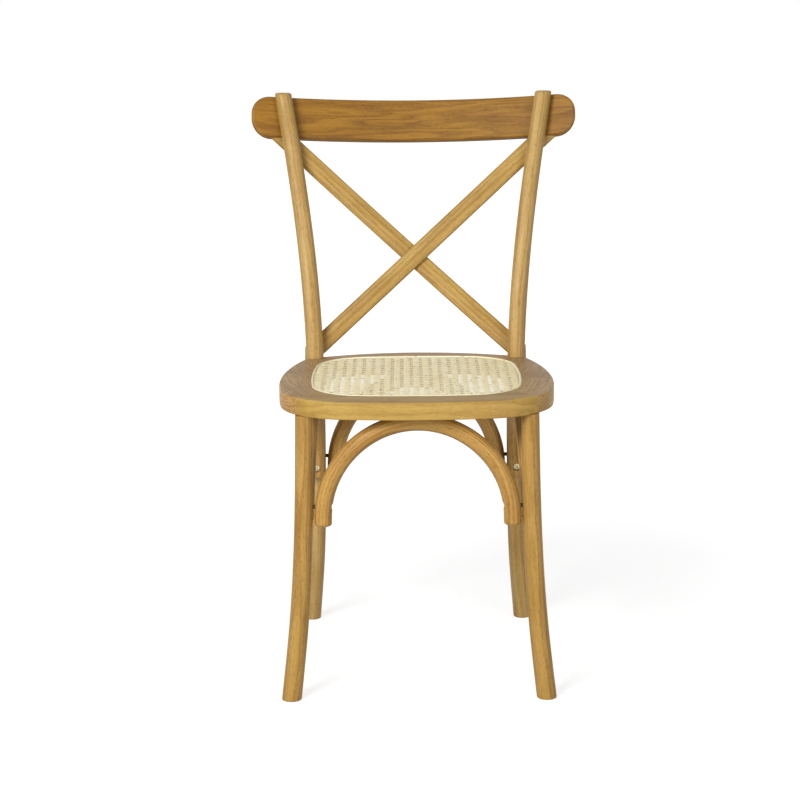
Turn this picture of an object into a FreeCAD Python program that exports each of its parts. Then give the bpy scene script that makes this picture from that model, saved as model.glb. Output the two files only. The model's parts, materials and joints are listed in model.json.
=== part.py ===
import FreeCAD, Part
import math
import os

# Cross back dining chair: bent round legs and posts, a mitred seat ring with a cane panel,
# four bent hoops under the seat, and a back of one curved rail over two crossing slats.
# Millimetres. +Z is up, the sitter faces -Y, and z = 0 is the floor. Left and right are as
# seen from the front, so right is +X.
# While it is built, y = 0 is 200 mm behind the front edge of the seat. The finished chair is
# then moved along Y, so that the origin is on the floor under the middle of its overall box.

Vec = FreeCAD.Vector
UP = Vec(0, 0, 1)
FRONT = Vec(0, -1, 0)
RIGHT = Vec(1, 0, 0)
SPAN = 2000.0       # reaches past the whole chair, for boxes that cut it

# Clearances
FIT = 0.05          # round every screw, dowel and tenon, on the radius
TOUCH = 0.1         # between two bent rods, or a rod and what is cut to fit it
BUTT = 0.3          # under the rail, where the slats end, and where the slats cross

# Seat ring: four big arcs with rounded corners
SEAT_TOP = 463.0
SEAT_THICK = 27.0
SEAT_HALF_WIDTH = 210.0
SEAT_WIDEST_Y = -22.0
SEAT_FRONT_Y = -200.0
SEAT_REAR_Y = 211.0
SEAT_FRONT_RADIUS = 800.0
SEAT_SIDE_RADIUS = 540.0
SEAT_REAR_RADIUS = 350.0
SEAT_FRONT_CORNER = 112.0
SEAT_REAR_CORNER = 26.0
SEAT_TOP_ROUND = 3.0
SEAT_BOTTOM_ROUND = 2.0

# Mitres between the four boards: 45 degree lines from these points on the Y axis
FRONT_MITRE_Y = 24.0
REAR_MITRE_Y = -2.0
DOWEL_RADIUS = 4.0
DOWEL_LENGTH = 26.0
DOWEL_BEVEL = 1.0
DOWEL_UNDER_TOP = 17.0
FRONT_DOWELS_AT = (196.0, 214.0)    # along the mitre, from the Y axis
REAR_DOWELS_AT = (192.0, 206.0)

# Cane panel, its groove and the reed that holds it there
CANE_HALF_WIDTH = 162.0
CANE_FRONT_Y = -152.0
CANE_REAR_Y = 173.5
CANE_EDGE_RADIUS = 900.0
CANE_CORNER = 84.0
GROOVE_WIDTH = 5.0
GROOVE_DEPTH = 8.0
LIP_WIDTH = 12.0
CANE_THICK = 1.6
CANE_TURNED_DOWN = 6.5
REED_WIDTH = 3.4
REED_PROUD = 0.8
REED_ROUND = 1.2

# Front legs: centre line of the right one
LEG_FOOT = Vec(192.7, -166.0, 0)
LEG_CALF = Vec(181.0, -161.0, 105.0)
LEG_KNEE = Vec(172.3, -157.0, 230.0)
LEG_THIGH = Vec(168.6, -154.0, 345.0)
LEG_TOP = Vec(167.2, -152.5, SEAT_TOP - SEAT_THICK)
LEG_FOOT_RADIUS = 15.0
LEG_TOP_RADIUS = 13.3
LEG_TENON_RADIUS = 9.0
LEG_TENON_LENGTH = 16.0
FOOT_ROUND = 1.5

# Back posts: centre line of the right one, foot to top
POST_FOOT = Vec(178.7, 241.0, 0)
POST_CALF = Vec(168.8, 209.0, 115.0)
POST_KNEE = Vec(163.4, 180.0, 265.0)
POST_HIP = Vec(162.3, 169.5, 400.0)
POST_WAIST = Vec(167.5, 181.0, 548.0)
POST_CHEST = Vec(179.0, 214.5, 662.0)
POST_SHOULDER = Vec(195.6, 253.6, 775.0)
POST_TOP = Vec(213.9, 291.4, 883.0)
POST_FOOT_RADIUS = 14.6
POST_TOP_RADIUS = 13.4
POST_TOP_ROUND = 3.0

# Top rail, bent to one radius and leaning as the posts do
BACK_LEAN = math.radians(19.3)
RAIL_MID_Z = 847.0          # height on the posts' centre line
RAIL_HALF_LENGTH = 265.5
RAIL_HEIGHT = 69.0
RAIL_THICK = 19.0
RAIL_RADIUS = 950.0
RAIL_CORNER = 30.0
RAIL_ROUND = 4.5
RAIL_LET_IN = 2.5           # how deep each post sits in its notch
RAIL_SCREW_SPREAD = 34.0

# Crossing slats
SLAT_LOW_Z = 477.5
SLAT_HIGH_Z = 802.5
SLAT_WIDTH = 29.5
SLAT_THICK = 9.0
SLAT_BOW = 3.0
SLAT_ROUND = 3.4
SLAT_LET_IN = 1.5
SLAT_LOW_END_X = 180.0
SLAT_BELOW_SEAT = 5.0
SLAT_SPARE = 60.0           # trimmed off again at both ends
SLAT_SECTIONS = 5

# Hoops: short straight limbs, a tight shoulder arc on each side and a crown arc
ROD_RADIUS = 13.0
HOOP_END_Z = 268.0
HOOP_FLAT = 1.5             # planed off the crown, where it lies against the seat
HOOP_LIMB = 15.5
HOOP_LIMB_LEAN = math.radians(1.5)
HOOP_CROWN_ANGLE = math.radians(28.0)
HOOP_END_ROUND = 4.0
CROSS_BOLT_UP = 29.0        # above the hoop's end
SIDE_BOLT_UP = 17.0
SIDE_HOOP_LEAN = 7.0       # how far inboard its crown is
CROSS_HOOP_GAP = 2.5        # between its ends and the legs, where only the bolts cross
CROWN_SCREW_SPREAD = 36.0

# Fasteners: head radius, head height, shank radius and whole length
HOOP_BOLT = dict(head=6.3, height=3.6, shank=3.0, length=42.0)
CROWN_SCREW = dict(head=4.2, height=2.6, shank=2.2, length=34.0)
POST_BOLT = dict(head=6.0, height=4.5, shank=3.4, length=62.0)
RAIL_SCREW = dict(head=4.2, height=2.6, shank=2.2, length=32.0)
SLAT_SCREW = dict(head=3.8, height=2.2, shank=1.9, length=22.0)
CROSSING_SCREW = dict(head=3.8, height=2.2, shank=1.9, length=14.0)

# How deep the top of each head lies
HOOP_BOLT_SUNK = 2.2
CROWN_SCREW_SUNK = 3.0
POST_BOLT_SUNK = 1.8
RAIL_SCREW_SUNK = 3.0
SLAT_SCREW_SUNK = 0.3
POST_BOLT_UNDER_TOP = 14.0

SEAT_UNDER = SEAT_TOP - SEAT_THICK


# Shared shapes

def box_between(low, high):
    size = high - low
    return Part.makeBox(size.x, size.y, size.z, low)


def mirrored(shape):
    return shape.mirror(Vec(0, 0, 0), RIGHT)


def set_in(shape, origin, x_way, y_way, z_way):
    """The shape moved from the main axes to other ones."""
    moved = shape.copy()
    moved.Placement = FreeCAD.Placement(origin, FreeCAD.Rotation(x_way, y_way, z_way, "ZXY"))
    return moved


def pointed(shape, point, way):
    """The shape with its origin at the point and its +Z turned to the way given."""
    moved = shape.copy()
    moved.Placement = FreeCAD.Placement(point, FreeCAD.Rotation(UP, way))
    return moved


def level_edges(shape, z):
    return [e for e in shape.Edges if abs(e.BoundBox.ZMin - z) < 0.01 and e.BoundBox.ZLength < 0.02]


def upright_edges(shape, above_y, below_y):
    chosen = []
    for edge in shape.Edges:
        box = edge.BoundBox
        if box.XLength < 0.01 and box.YLength < 0.01 and above_y < box.YMin < below_y:
            chosen.append(edge)
    return chosen


def four_arc_plate(half_width, ends_y, radii, corners, low, high, inset):
    """A plate bounded by a front, two side and a rear arc, with its corners rounded."""
    front_y, widest_y, rear_y = ends_y
    front_radius, side_radius, rear_radius = (radius - inset for radius in radii)
    front_corner, rear_corner = (corner - inset for corner in corners)
    height = high - low
    side_x = half_width - inset - side_radius
    plate = Part.makeCylinder(front_radius, height, Vec(0, front_y + inset + front_radius, low))
    for centre, radius in ((Vec(0, rear_y - inset - rear_radius, low), rear_radius),
                           (Vec(side_x, widest_y, low), side_radius),
                           (Vec(-side_x, widest_y, low), side_radius)):
        plate = plate.common(Part.makeCylinder(radius, height, centre))
    plate = plate.makeFillet(front_corner, upright_edges(plate, -SPAN, widest_y))
    return plate.makeFillet(rear_corner, upright_edges(plate, (widest_y + rear_y) / 2, SPAN))


class BentRod:
    """A round rod along a smooth line that rises through its points, tapering evenly."""

    RINGS = 17
    SPARE = 30.0    # how far it runs on past both ends, in line with them

    def __init__(self, points, foot_radius, top_radius):
        first = points[0] - (points[1] - points[0]).normalize() * self.SPARE
        last = points[-1] + (points[-1] - points[-2]).normalize() * self.SPARE
        points = [first] + points + [last]
        self.low = first.z
        self.high = last.z
        self.foot_radius = foot_radius
        self.taper = (top_radius - foot_radius) / points[-2].z
        self.line = Part.BSplineCurve()
        self.line.interpolate(Points=points, Parameters=[point.z for point in points])

    def centre(self, z):
        return self.line.value(z)

    def radius(self, z):
        return self.foot_radius + self.taper * z

    def solid(self, low, high, grow=0.0):
        """The rod between two levels, with both ends cut level, or fatter by grow."""
        rings = []
        for i in range(self.RINGS):
            z = self.low + (self.high - self.low) * i / (self.RINGS - 1)
            ring = Part.Wire(Part.makeCircle(self.radius(z) + grow).Edges)
            rings.append(pointed(ring, self.centre(z), self.line.tangent(z)[0]))
        body = Part.makeLoft(rings, True, False)
        return body.common(box_between(Vec(-SPAN, -SPAN, low), Vec(SPAN, SPAN, high)))


def fastener(head, height, shank, length):
    """A pan head screw: its head's top at the origin, its shank along +Z, a cross in the head."""
    top = Part.makeCylinder(head, height)
    top = top.makeFillet(height * 0.45, level_edges(top, 0))
    body = top.fuse(Part.makeCylinder(shank, length))
    body = body.makeChamfer(shank * 0.6, level_edges(body, length))
    arm = head * 0.55
    half_slot = head * 0.12
    depth = height * 0.6
    body = body.cut(box_between(Vec(-arm, -half_slot, -1), Vec(arm, half_slot, depth)))
    return body.cut(box_between(Vec(-half_slot, -arm, -1), Vec(half_slot, arm, depth)))


class Fastening:
    """Screws of one kind: where the top of each head is, and which way each points."""

    def __init__(self, kind, sunk, places):
        self.kind = kind
        self.sunk = sunk
        self.places = places

    def screws(self):
        return [pointed(fastener(**self.kind), point, way) for point, way in self.places]

    def cut_from(self, shape):
        """Sinks every head and clears every shank."""
        head = self.kind["head"] + 2 * FIT
        above = self.sunk + self.kind["head"]
        recess = Part.makeCylinder(head, self.kind["height"] + above, Vec(0, 0, -above))
        bore = Part.makeCylinder(self.kind["shank"] + FIT, self.kind["length"] + FIT)
        hole = recess.fuse(bore)
        for point, way in self.places:
            shape = shape.cut(pointed(hole, point, way))
        return shape


def both_sides(places):
    """The places on the right, then the same ones on the left."""
    return places + [(Vec(-p.x, p.y, p.z), Vec(-way.x, way.y, way.z)) for p, way in places]


# Legs and posts

leg_rod = BentRod([LEG_FOOT, LEG_CALF, LEG_KNEE, LEG_THIGH, LEG_TOP], LEG_FOOT_RADIUS, LEG_TOP_RADIUS)
post_rod = BentRod([POST_FOOT, POST_CALF, POST_KNEE, POST_HIP, POST_WAIST, POST_CHEST,
                    POST_SHOULDER, POST_TOP], POST_FOOT_RADIUS, POST_TOP_RADIUS)

front_leg = leg_rod.solid(0, SEAT_UNDER)
front_leg = front_leg.makeFillet(FOOT_ROUND, level_edges(front_leg, 0))
front_leg = front_leg.fuse(Part.makeCylinder(LEG_TENON_RADIUS, LEG_TENON_LENGTH + 2, LEG_TOP - UP * 2))
mortise = Part.makeCylinder(LEG_TENON_RADIUS + FIT, LEG_TENON_LENGTH + 1, LEG_TOP)

back_post = post_rod.solid(0, POST_TOP.z)
back_post = back_post.makeFillet(FOOT_ROUND, level_edges(back_post, 0))
back_post = back_post.makeFillet(POST_TOP_ROUND, level_edges(back_post, POST_TOP.z))
post_room = post_rod.solid(0, POST_TOP.z + BentRod.SPARE / 2, TOUCH)
post_rooms = post_room.fuse(mirrored(post_room))


# Seat ring

def seat_plate(low, high):
    return four_arc_plate(SEAT_HALF_WIDTH, (SEAT_FRONT_Y, SEAT_WIDEST_Y, SEAT_REAR_Y),
                          (SEAT_FRONT_RADIUS, SEAT_SIDE_RADIUS, SEAT_REAR_RADIUS),
                          (SEAT_FRONT_CORNER, SEAT_REAR_CORNER), low, high, 0)


def cane_plate(inset, low, high):
    middle_y = (CANE_FRONT_Y + CANE_REAR_Y) / 2
    return four_arc_plate(CANE_HALF_WIDTH, (CANE_FRONT_Y, middle_y, CANE_REAR_Y),
                          [CANE_EDGE_RADIUS] * 3, [CANE_CORNER] * 2, low, high, inset)


def wedge(apex_y, side):
    """Everything in front of (side -1) or behind (1) the two 45 degree mitres from the apex."""
    apex = Vec(0, apex_y, 0)
    outline = Part.makePolygon([apex, apex + Vec(SPAN, side * SPAN, 0),
                                apex + Vec(-SPAN, side * SPAN, 0), apex])
    return Part.Face(outline).extrude(UP * SPAN)


def dowel_places():
    """The middle of each dowel and the way it points, square to its mitre."""
    z = SEAT_TOP - DOWEL_UNDER_TOP
    slope = math.sqrt(0.5)
    places = []
    for along in FRONT_DOWELS_AT:
        places.append((Vec(along * slope, FRONT_MITRE_Y - along * slope, z), Vec(slope, slope, 0)))
    for along in REAR_DOWELS_AT:
        places.append((Vec(along * slope, REAR_MITRE_Y + along * slope, z), Vec(slope, -slope, 0)))
    return both_sides(places)


ring = seat_plate(SEAT_UNDER, SEAT_TOP)
ring = ring.makeFillet(SEAT_TOP_ROUND, level_edges(ring, SEAT_TOP))
ring = ring.makeFillet(SEAT_BOTTOM_ROUND, level_edges(ring, SEAT_UNDER))
ring = ring.cut(cane_plate(GROOVE_WIDTH + LIP_WIDTH, SEAT_UNDER - 1, SEAT_TOP + 1))
ring = ring.cut(cane_plate(GROOVE_WIDTH, SEAT_TOP - CANE_THICK, SEAT_TOP + 1))
groove = cane_plate(0, SEAT_TOP - GROOVE_DEPTH, SEAT_TOP + 1)
groove = groove.cut(cane_plate(GROOVE_WIDTH, SEAT_TOP - GROOVE_DEPTH - 1, SEAT_TOP + 2))
ring = ring.cut(groove).cut(post_rooms).cut(mortise).cut(mirrored(mortise))

dowels = []
for middle, way in dowel_places():
    pin = Part.makeCylinder(DOWEL_RADIUS, DOWEL_LENGTH, Vec(0, 0, -DOWEL_LENGTH / 2))
    pin = pin.makeChamfer(DOWEL_BEVEL, level_edges(pin, -DOWEL_LENGTH / 2))
    pin = pin.makeChamfer(DOWEL_BEVEL, level_edges(pin, DOWEL_LENGTH / 2))
    dowels.append(pointed(pin, middle, way))
    bore = Part.makeCylinder(DOWEL_RADIUS + FIT, DOWEL_LENGTH + 1, Vec(0, 0, -(DOWEL_LENGTH + 1) / 2))
    ring = ring.cut(pointed(bore, middle, way))


# Cane panel, turned down into the groove, and the reed wedged in outside it

reed_inset = FIT + REED_WIDTH
cane = cane_plate(reed_inset + FIT, SEAT_TOP - CANE_TURNED_DOWN, SEAT_TOP)
cane = cane.cut(cane_plate(GROOVE_WIDTH - FIT, SEAT_TOP - CANE_TURNED_DOWN - 1, SEAT_TOP - CANE_THICK))
reed = cane_plate(FIT, SEAT_TOP - CANE_TURNED_DOWN, SEAT_TOP + REED_PROUD)
reed = reed.cut(cane_plate(reed_inset, SEAT_TOP - CANE_TURNED_DOWN - 1, SEAT_TOP + REED_PROUD + 1))
reed = reed.makeFillet(REED_ROUND, level_edges(reed, SEAT_TOP + REED_PROUD))


# Hoops

class Hoop:
    """A bent rod from one limb's end to the other's, with its crown flat against the seat."""

    def __init__(self, start, end, crown_shift):
        self.middle = (start + end) * 0.5
        self.along = (end - start).normalize()
        rise = UP * (SEAT_UNDER + HOOP_FLAT - ROD_RADIUS - HOOP_END_Z) + crown_shift
        self.height = rise.Length
        self.rise = rise.normalize()
        self.half = (end - start).Length / 2
        self.shoulder, self.crown = self.arc_radii()

    def arc_radii(self):
        """The two radii that make the arcs meet smoothly over this span and height."""
        wide = self.half - HOOP_LIMB * math.sin(HOOP_LIMB_LEAN)
        tall = self.height - HOOP_LIMB * math.cos(HOOP_LIMB_LEAN)
        shoulder_wide = math.cos(HOOP_LIMB_LEAN) - math.sin(HOOP_CROWN_ANGLE)
        shoulder_tall = math.cos(HOOP_CROWN_ANGLE) - math.sin(HOOP_LIMB_LEAN)
        crown_wide = math.sin(HOOP_CROWN_ANGLE)
        crown_tall = 1 - math.cos(HOOP_CROWN_ANGLE)
        size = shoulder_wide * crown_tall - crown_wide * shoulder_tall
        shoulder = (wide * crown_tall - crown_wide * tall) / size
        crown = (shoulder_wide * tall - wide * shoulder_tall) / size
        return shoulder, crown

    def place(self, side, across, up):
        return self.middle + self.along * (side * across) + self.rise * up

    def limb_point(self, side, up):
        return self.place(side, self.half - up * math.tan(HOOP_LIMB_LEAN), up)

    def shoulder_point(self, side, turn):
        """A point where the tangent has turned this far from upright."""
        up = HOOP_LIMB * math.cos(HOOP_LIMB_LEAN) - self.shoulder * math.sin(HOOP_LIMB_LEAN)
        across = self.half - HOOP_LIMB * math.sin(HOOP_LIMB_LEAN) - self.shoulder * math.cos(HOOP_LIMB_LEAN)
        return self.place(side, across + self.shoulder * math.cos(turn), up + self.shoulder * math.sin(turn))

    def centre_line(self):
        crown_from = math.pi / 2 - HOOP_CROWN_ANGLE
        turns = (HOOP_LIMB_LEAN, (HOOP_LIMB_LEAN + crown_from) / 2, crown_from)
        left = [self.shoulder_point(-1, turn) for turn in turns]
        right = [self.shoulder_point(1, turn) for turn in reversed(turns)]
        return Part.Wire([
            Part.LineSegment(self.limb_point(-1, 0), left[0]).toShape(),
            Part.Arc(*left).toShape(),
            Part.Arc(left[2], self.place(1, 0, self.height), right[0]).toShape(),
            Part.Arc(*right).toShape(),
            Part.LineSegment(right[2], self.limb_point(1, 0)).toShape(),
        ])

    def solid(self):
        path = self.centre_line()
        limb_way = self.shoulder_point(-1, HOOP_LIMB_LEAN) - self.limb_point(-1, 0)
        section = pointed(Part.Wire(Part.makeCircle(ROD_RADIUS).Edges), self.limb_point(-1, 0), limb_way)
        body = path.makePipeShell([section], True, False)
        ends = [edge for edge in body.Edges if edge.BoundBox.ZMax < HOOP_END_Z + HOOP_END_ROUND]
        body = body.makeFillet(HOOP_END_ROUND, ends)
        return body.cut(box_between(Vec(-SPAN, -SPAN, SEAT_UNDER), Vec(SPAN, SPAN, SEAT_UNDER + SPAN)))

    def bolt_places(self, up):
        """One bolt at each end, its head inside the arch, pointing out through the rod."""
        turn = math.asin(math.sin(HOOP_LIMB_LEAN) + max(0, up - HOOP_LIMB) / self.shoulder)
        places = []
        for side in (-1, 1):
            point = self.shoulder_point(side, turn) if up > HOOP_LIMB else self.limb_point(side, up)
            point = Vec(point.x, point.y, HOOP_END_Z + up)
            way = self.along * side
            places.append((point - way * (ROD_RADIUS - HOOP_BOLT_SUNK), way))
        return places

    def crown_places(self):
        """Two screws up through the crown into the seat."""
        bottom = SEAT_UNDER + HOOP_FLAT - 2 * ROD_RADIUS
        places = []
        for side in (-1, 1):
            point = self.place(side, CROWN_SCREW_SPREAD / 2, self.height)
            places.append((Vec(point.x, point.y, bottom + CROWN_SCREW_SUNK), UP))
        return places


def cross_hoop(rod):
    """From the inner side of one leg or post to the other one of its pair."""
    beside = rod.centre(HOOP_END_Z)
    reach = beside.x - rod.radius(HOOP_END_Z) - ROD_RADIUS - CROSS_HOOP_GAP
    return Hoop(Vec(-reach, beside.y, HOOP_END_Z), Vec(reach, beside.y, HOOP_END_Z), Vec(0, 0, 0))


def side_hoop():
    """From the back of the right leg to the front of the right post, which it is cut to fit."""
    bolt_z = HOOP_END_Z + SIDE_BOLT_UP
    leg = leg_rod.centre(bolt_z)
    post = post_rod.centre(bolt_z)
    way = (post - leg).normalize()
    start = leg + way * (leg_rod.radius(bolt_z) + ROD_RADIUS + TOUCH)
    end = post - way * (post_rod.radius(bolt_z) + ROD_RADIUS + TOUCH)
    drop = UP * SIDE_BOLT_UP
    return Hoop(start - drop, end - drop, RIGHT * -SIDE_HOOP_LEAN)


front_arch = cross_hoop(leg_rod)
rear_arch = cross_hoop(post_rod)
right_arch = side_hoop()

hoop_bolts = Fastening(HOOP_BOLT, HOOP_BOLT_SUNK,
                       front_arch.bolt_places(CROSS_BOLT_UP) + rear_arch.bolt_places(CROSS_BOLT_UP)
                       + both_sides(right_arch.bolt_places(SIDE_BOLT_UP)))
crown_screws = Fastening(CROWN_SCREW, CROWN_SCREW_SUNK,
                         front_arch.crown_places() + rear_arch.crown_places()
                         + both_sides(right_arch.crown_places()))


# Top rail

def rail_frame():
    """Where the posts' centre line crosses the rail's middle, its up way and its back way."""
    up_way = Vec(0, math.sin(BACK_LEAN), math.cos(BACK_LEAN))
    back_way = Vec(0, math.cos(BACK_LEAN), -math.sin(BACK_LEAN))
    return Vec(0, post_rod.centre(RAIL_MID_Z).y, RAIL_MID_Z), up_way, back_way


rail_middle, rail_up, rail_back = rail_frame()
post_reach = post_rod.centre(RAIL_MID_Z).x
post_distance = RAIL_RADIUS - post_rod.radius(RAIL_MID_Z) + RAIL_LET_IN
bend_centre = rail_middle - rail_back * math.sqrt(post_distance ** 2 - post_reach ** 2)


def rail_solid():
    bottom = bend_centre - rail_up * RAIL_HEIGHT / 2
    bent = Part.makeCylinder(RAIL_RADIUS + RAIL_THICK, RAIL_HEIGHT, bottom, rail_up)
    bent = bent.cut(Part.makeCylinder(RAIL_RADIUS, RAIL_HEIGHT, bottom, rail_up))
    size = Vec(RAIL_HALF_LENGTH, RAIL_HEIGHT / 2, 0)
    blank = box_between(size * -1, size + UP * (RAIL_RADIUS / 2))
    corners = [edge for edge in blank.Edges if edge.BoundBox.ZLength > RAIL_RADIUS / 4]
    blank = blank.makeFillet(RAIL_CORNER, corners)
    start = rail_middle - rail_back * RAIL_RADIUS / 4
    blank = set_in(blank, start, RIGHT, rail_back.cross(RIGHT), rail_back)
    rail = bent.common(blank)
    faces = [face for face in rail.Faces if face.Surface.TypeId == "Part::GeomCylinder"
             and face.Surface.Radius > RAIL_RADIUS - 1]
    edges = [edge for face in faces for edge in face.Edges]
    return rail.makeFillet(RAIL_ROUND, edges)


def rail_screw_places():
    places = []
    for offset in (-RAIL_SCREW_SPREAD / 2, RAIL_SCREW_SPREAD / 2):
        axis_point = bend_centre + rail_up * offset
        post_point = post_rod.centre(RAIL_MID_Z + offset * math.cos(BACK_LEAN))
        outward = post_point - axis_point
        outward = (outward - rail_up * outward.dot(rail_up)).normalize()
        head_at = RAIL_RADIUS + RAIL_THICK - RAIL_SCREW_SUNK
        places.append((axis_point + outward * head_at, outward * -1))
    return both_sides(places)


rail_screws = Fastening(RAIL_SCREW, RAIL_SCREW_SUNK, rail_screw_places())
top_rail = rail_screws.cut_from(rail_solid().cut(post_rooms))

above_slats = box_between(Vec(-SPAN, -SPAN, 0), Vec(SPAN, SPAN, SPAN))
above_slats = pointed(above_slats, rail_middle - rail_up * (RAIL_HEIGHT / 2 + BUTT), rail_up)


# Crossing slats

def rounded_section(width, thick, radius):
    """The outline of a board's section, with rounded corners, round the origin."""
    corners = []
    for quarter, (side_x, side_y) in enumerate(((1, 1), (-1, 1), (-1, -1), (1, -1))):
        centre = Vec(side_x * (width / 2 - radius), side_y * (thick / 2 - radius), 0)
        turns = [math.radians(90 * quarter + turn) for turn in (0, 45, 90)]
        corners.append([centre + Vec(math.cos(t), math.sin(t), 0) * radius for t in turns])
    edges = []
    for i, corner in enumerate(corners):
        edges.append(Part.Arc(*corner).toShape())
        edges.append(Part.LineSegment(corner[2], corners[(i + 1) % 4][0]).toShape())
    return Part.Wire(edges)


class Slat:
    """From behind the left post at the seat to behind the right post at the rail."""

    def __init__(self, bow):
        low = post_rod.centre(SLAT_LOW_Z)
        low.x = -low.x
        high = post_rod.centre(SLAT_HIGH_Z)
        rise = high - low
        self.back = Vec(0, rise.z, -rise.y).normalize()
        low = low + self.back * (post_rod.radius(SLAT_LOW_Z) - SLAT_LET_IN)
        high = high + self.back * (post_rod.radius(SLAT_HIGH_Z) - SLAT_LET_IN)
        self.low = low
        self.high = high
        self.bow = bow

    def solid(self):
        chord = self.high - self.low
        half_chord = chord.Length / 2
        chord.normalize()
        radius = (half_chord ** 2 + self.bow ** 2) / (2 * self.bow)
        bend_centre = (self.low + self.high) * 0.5 + self.back * (self.bow - radius)
        half_turn = math.asin((half_chord + SLAT_SPARE) / radius)
        section = rounded_section(SLAT_WIDTH, SLAT_THICK, SLAT_ROUND)
        sections = []
        for i in range(SLAT_SECTIONS):
            turn = half_turn * (2 * i / (SLAT_SECTIONS - 1) - 1)
            outward = self.back * math.cos(turn) + chord * math.sin(turn)
            along = chord * math.cos(turn) - self.back * math.sin(turn)
            middle = bend_centre + outward * (radius + SLAT_THICK / 2)
            sections.append(set_in(section, middle, along.cross(outward), outward, along))
        body = Part.makeLoft(sections, True, False)
        bottom = SEAT_TOP - SLAT_BELOW_SEAT
        body = body.common(box_between(Vec(-SLAT_LOW_END_X, -SPAN, bottom), Vec(SPAN, SPAN, SPAN)))
        return body.cut(above_slats).cut(post_rooms)

    def end_places(self):
        depth = self.back * (SLAT_THICK - SLAT_SCREW_SUNK)
        return [(self.low + depth, self.back * -1), (self.high + depth, self.back * -1)]

    def crossing_place(self):
        middle = (self.low + self.high) * 0.5
        share = middle.x / (self.high.x - self.low.x)
        middle = middle - (self.high - self.low) * share
        return middle + self.back * (self.bow + SLAT_THICK - SLAT_SCREW_SUNK), self.back * -1


front_slat = Slat(SLAT_BOW)
rear_slat = Slat(SLAT_BOW + SLAT_THICK + BUTT)
slat_screws = Fastening(SLAT_SCREW, SLAT_SCREW_SUNK, both_sides(front_slat.end_places()))
crossing_screw = Fastening(CROSSING_SCREW, SLAT_SCREW_SUNK, [rear_slat.crossing_place()])


# Posts bolted to the seat from behind

post_bolt_z = SEAT_TOP - POST_BOLT_UNDER_TOP
bolt_point = post_rod.centre(post_bolt_z) - FRONT * (post_rod.radius(post_bolt_z) - POST_BOLT_SUNK)
post_bolts = Fastening(POST_BOLT, POST_BOLT_SUNK, both_sides([(bolt_point, FRONT)]))


# Holes for the fasteners, in each piece that they pass

def bored(shape, *fastenings):
    for fastening in fastenings:
        shape = fastening.cut_from(shape)
    return shape


ring = bored(ring, crown_screws, post_bolts)
front_leg = bored(front_leg, hoop_bolts)
back_post = bored(back_post, hoop_bolts, post_bolts, rail_screws, slat_screws)
right_hoop = bored(right_arch.solid().cut(post_room), hoop_bolts, crown_screws)
front_wedge = wedge(FRONT_MITRE_Y, -1)
rear_wedge = wedge(REAR_MITRE_Y, 1)
side_boards = ring.cut(front_wedge).cut(rear_wedge)

nodes = {
    "seat_rail_front": ring.common(front_wedge),
    "seat_rail_rear": ring.common(rear_wedge),
    "seat_rail_left": side_boards.common(box_between(Vec(-SPAN, -SPAN, 0), Vec(0, SPAN, SPAN))),
    "seat_rail_right": side_boards.common(box_between(Vec(0, -SPAN, 0), Vec(SPAN, SPAN, SPAN))),
    "seat_corner_dowels": Part.makeCompound(dowels),
    "cane_webbing": cane,
    "cane_spline": reed,
    "front_leg_left": mirrored(front_leg),
    "front_leg_right": front_leg,
    "back_post_left": mirrored(back_post),
    "back_post_right": back_post,
    "top_rail": top_rail,
    "cross_slat_front": bored(front_slat.solid(), slat_screws, crossing_screw),
    "cross_slat_rear": bored(mirrored(rear_slat.solid()), slat_screws, crossing_screw),
    "hoop_front": bored(front_arch.solid(), hoop_bolts, crown_screws),
    "hoop_rear": bored(rear_arch.solid(), hoop_bolts, crown_screws),
    "hoop_left": mirrored(right_hoop),
    "hoop_right": right_hoop,
    "hoop_end_screws": Part.makeCompound(hoop_bolts.screws()),
    "hoop_crown_screws": Part.makeCompound(crown_screws.screws()),
    "post_seat_bolts": Part.makeCompound(post_bolts.screws()),
    "rail_screws": Part.makeCompound(rail_screws.screws()),
    "slat_end_screws": Part.makeCompound(slat_screws.screws()),
    "slat_crossing_screw": Part.makeCompound(crossing_screw.screws()),
}

boxes = [shape.optimalBoundingBox(False, False) for shape in nodes.values()]
middle_y = (min(box.YMin for box in boxes) + max(box.YMax for box in boxes)) / 2
print("moved by", round(-middle_y, 3), "mm along Y")
os.makedirs("parts", exist_ok=True)
for name, shape in nodes.items():
    shape = shape.translated(Vec(0, -middle_y, 0))
    print(name, len(shape.Solids), shape.isValid(), round(shape.Volume))
    shape.exportStep("parts/" + name + ".step")
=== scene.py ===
import json
import math

import bmesh
import bpy
import numpy as np
from mathutils import Matrix, Vector

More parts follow.
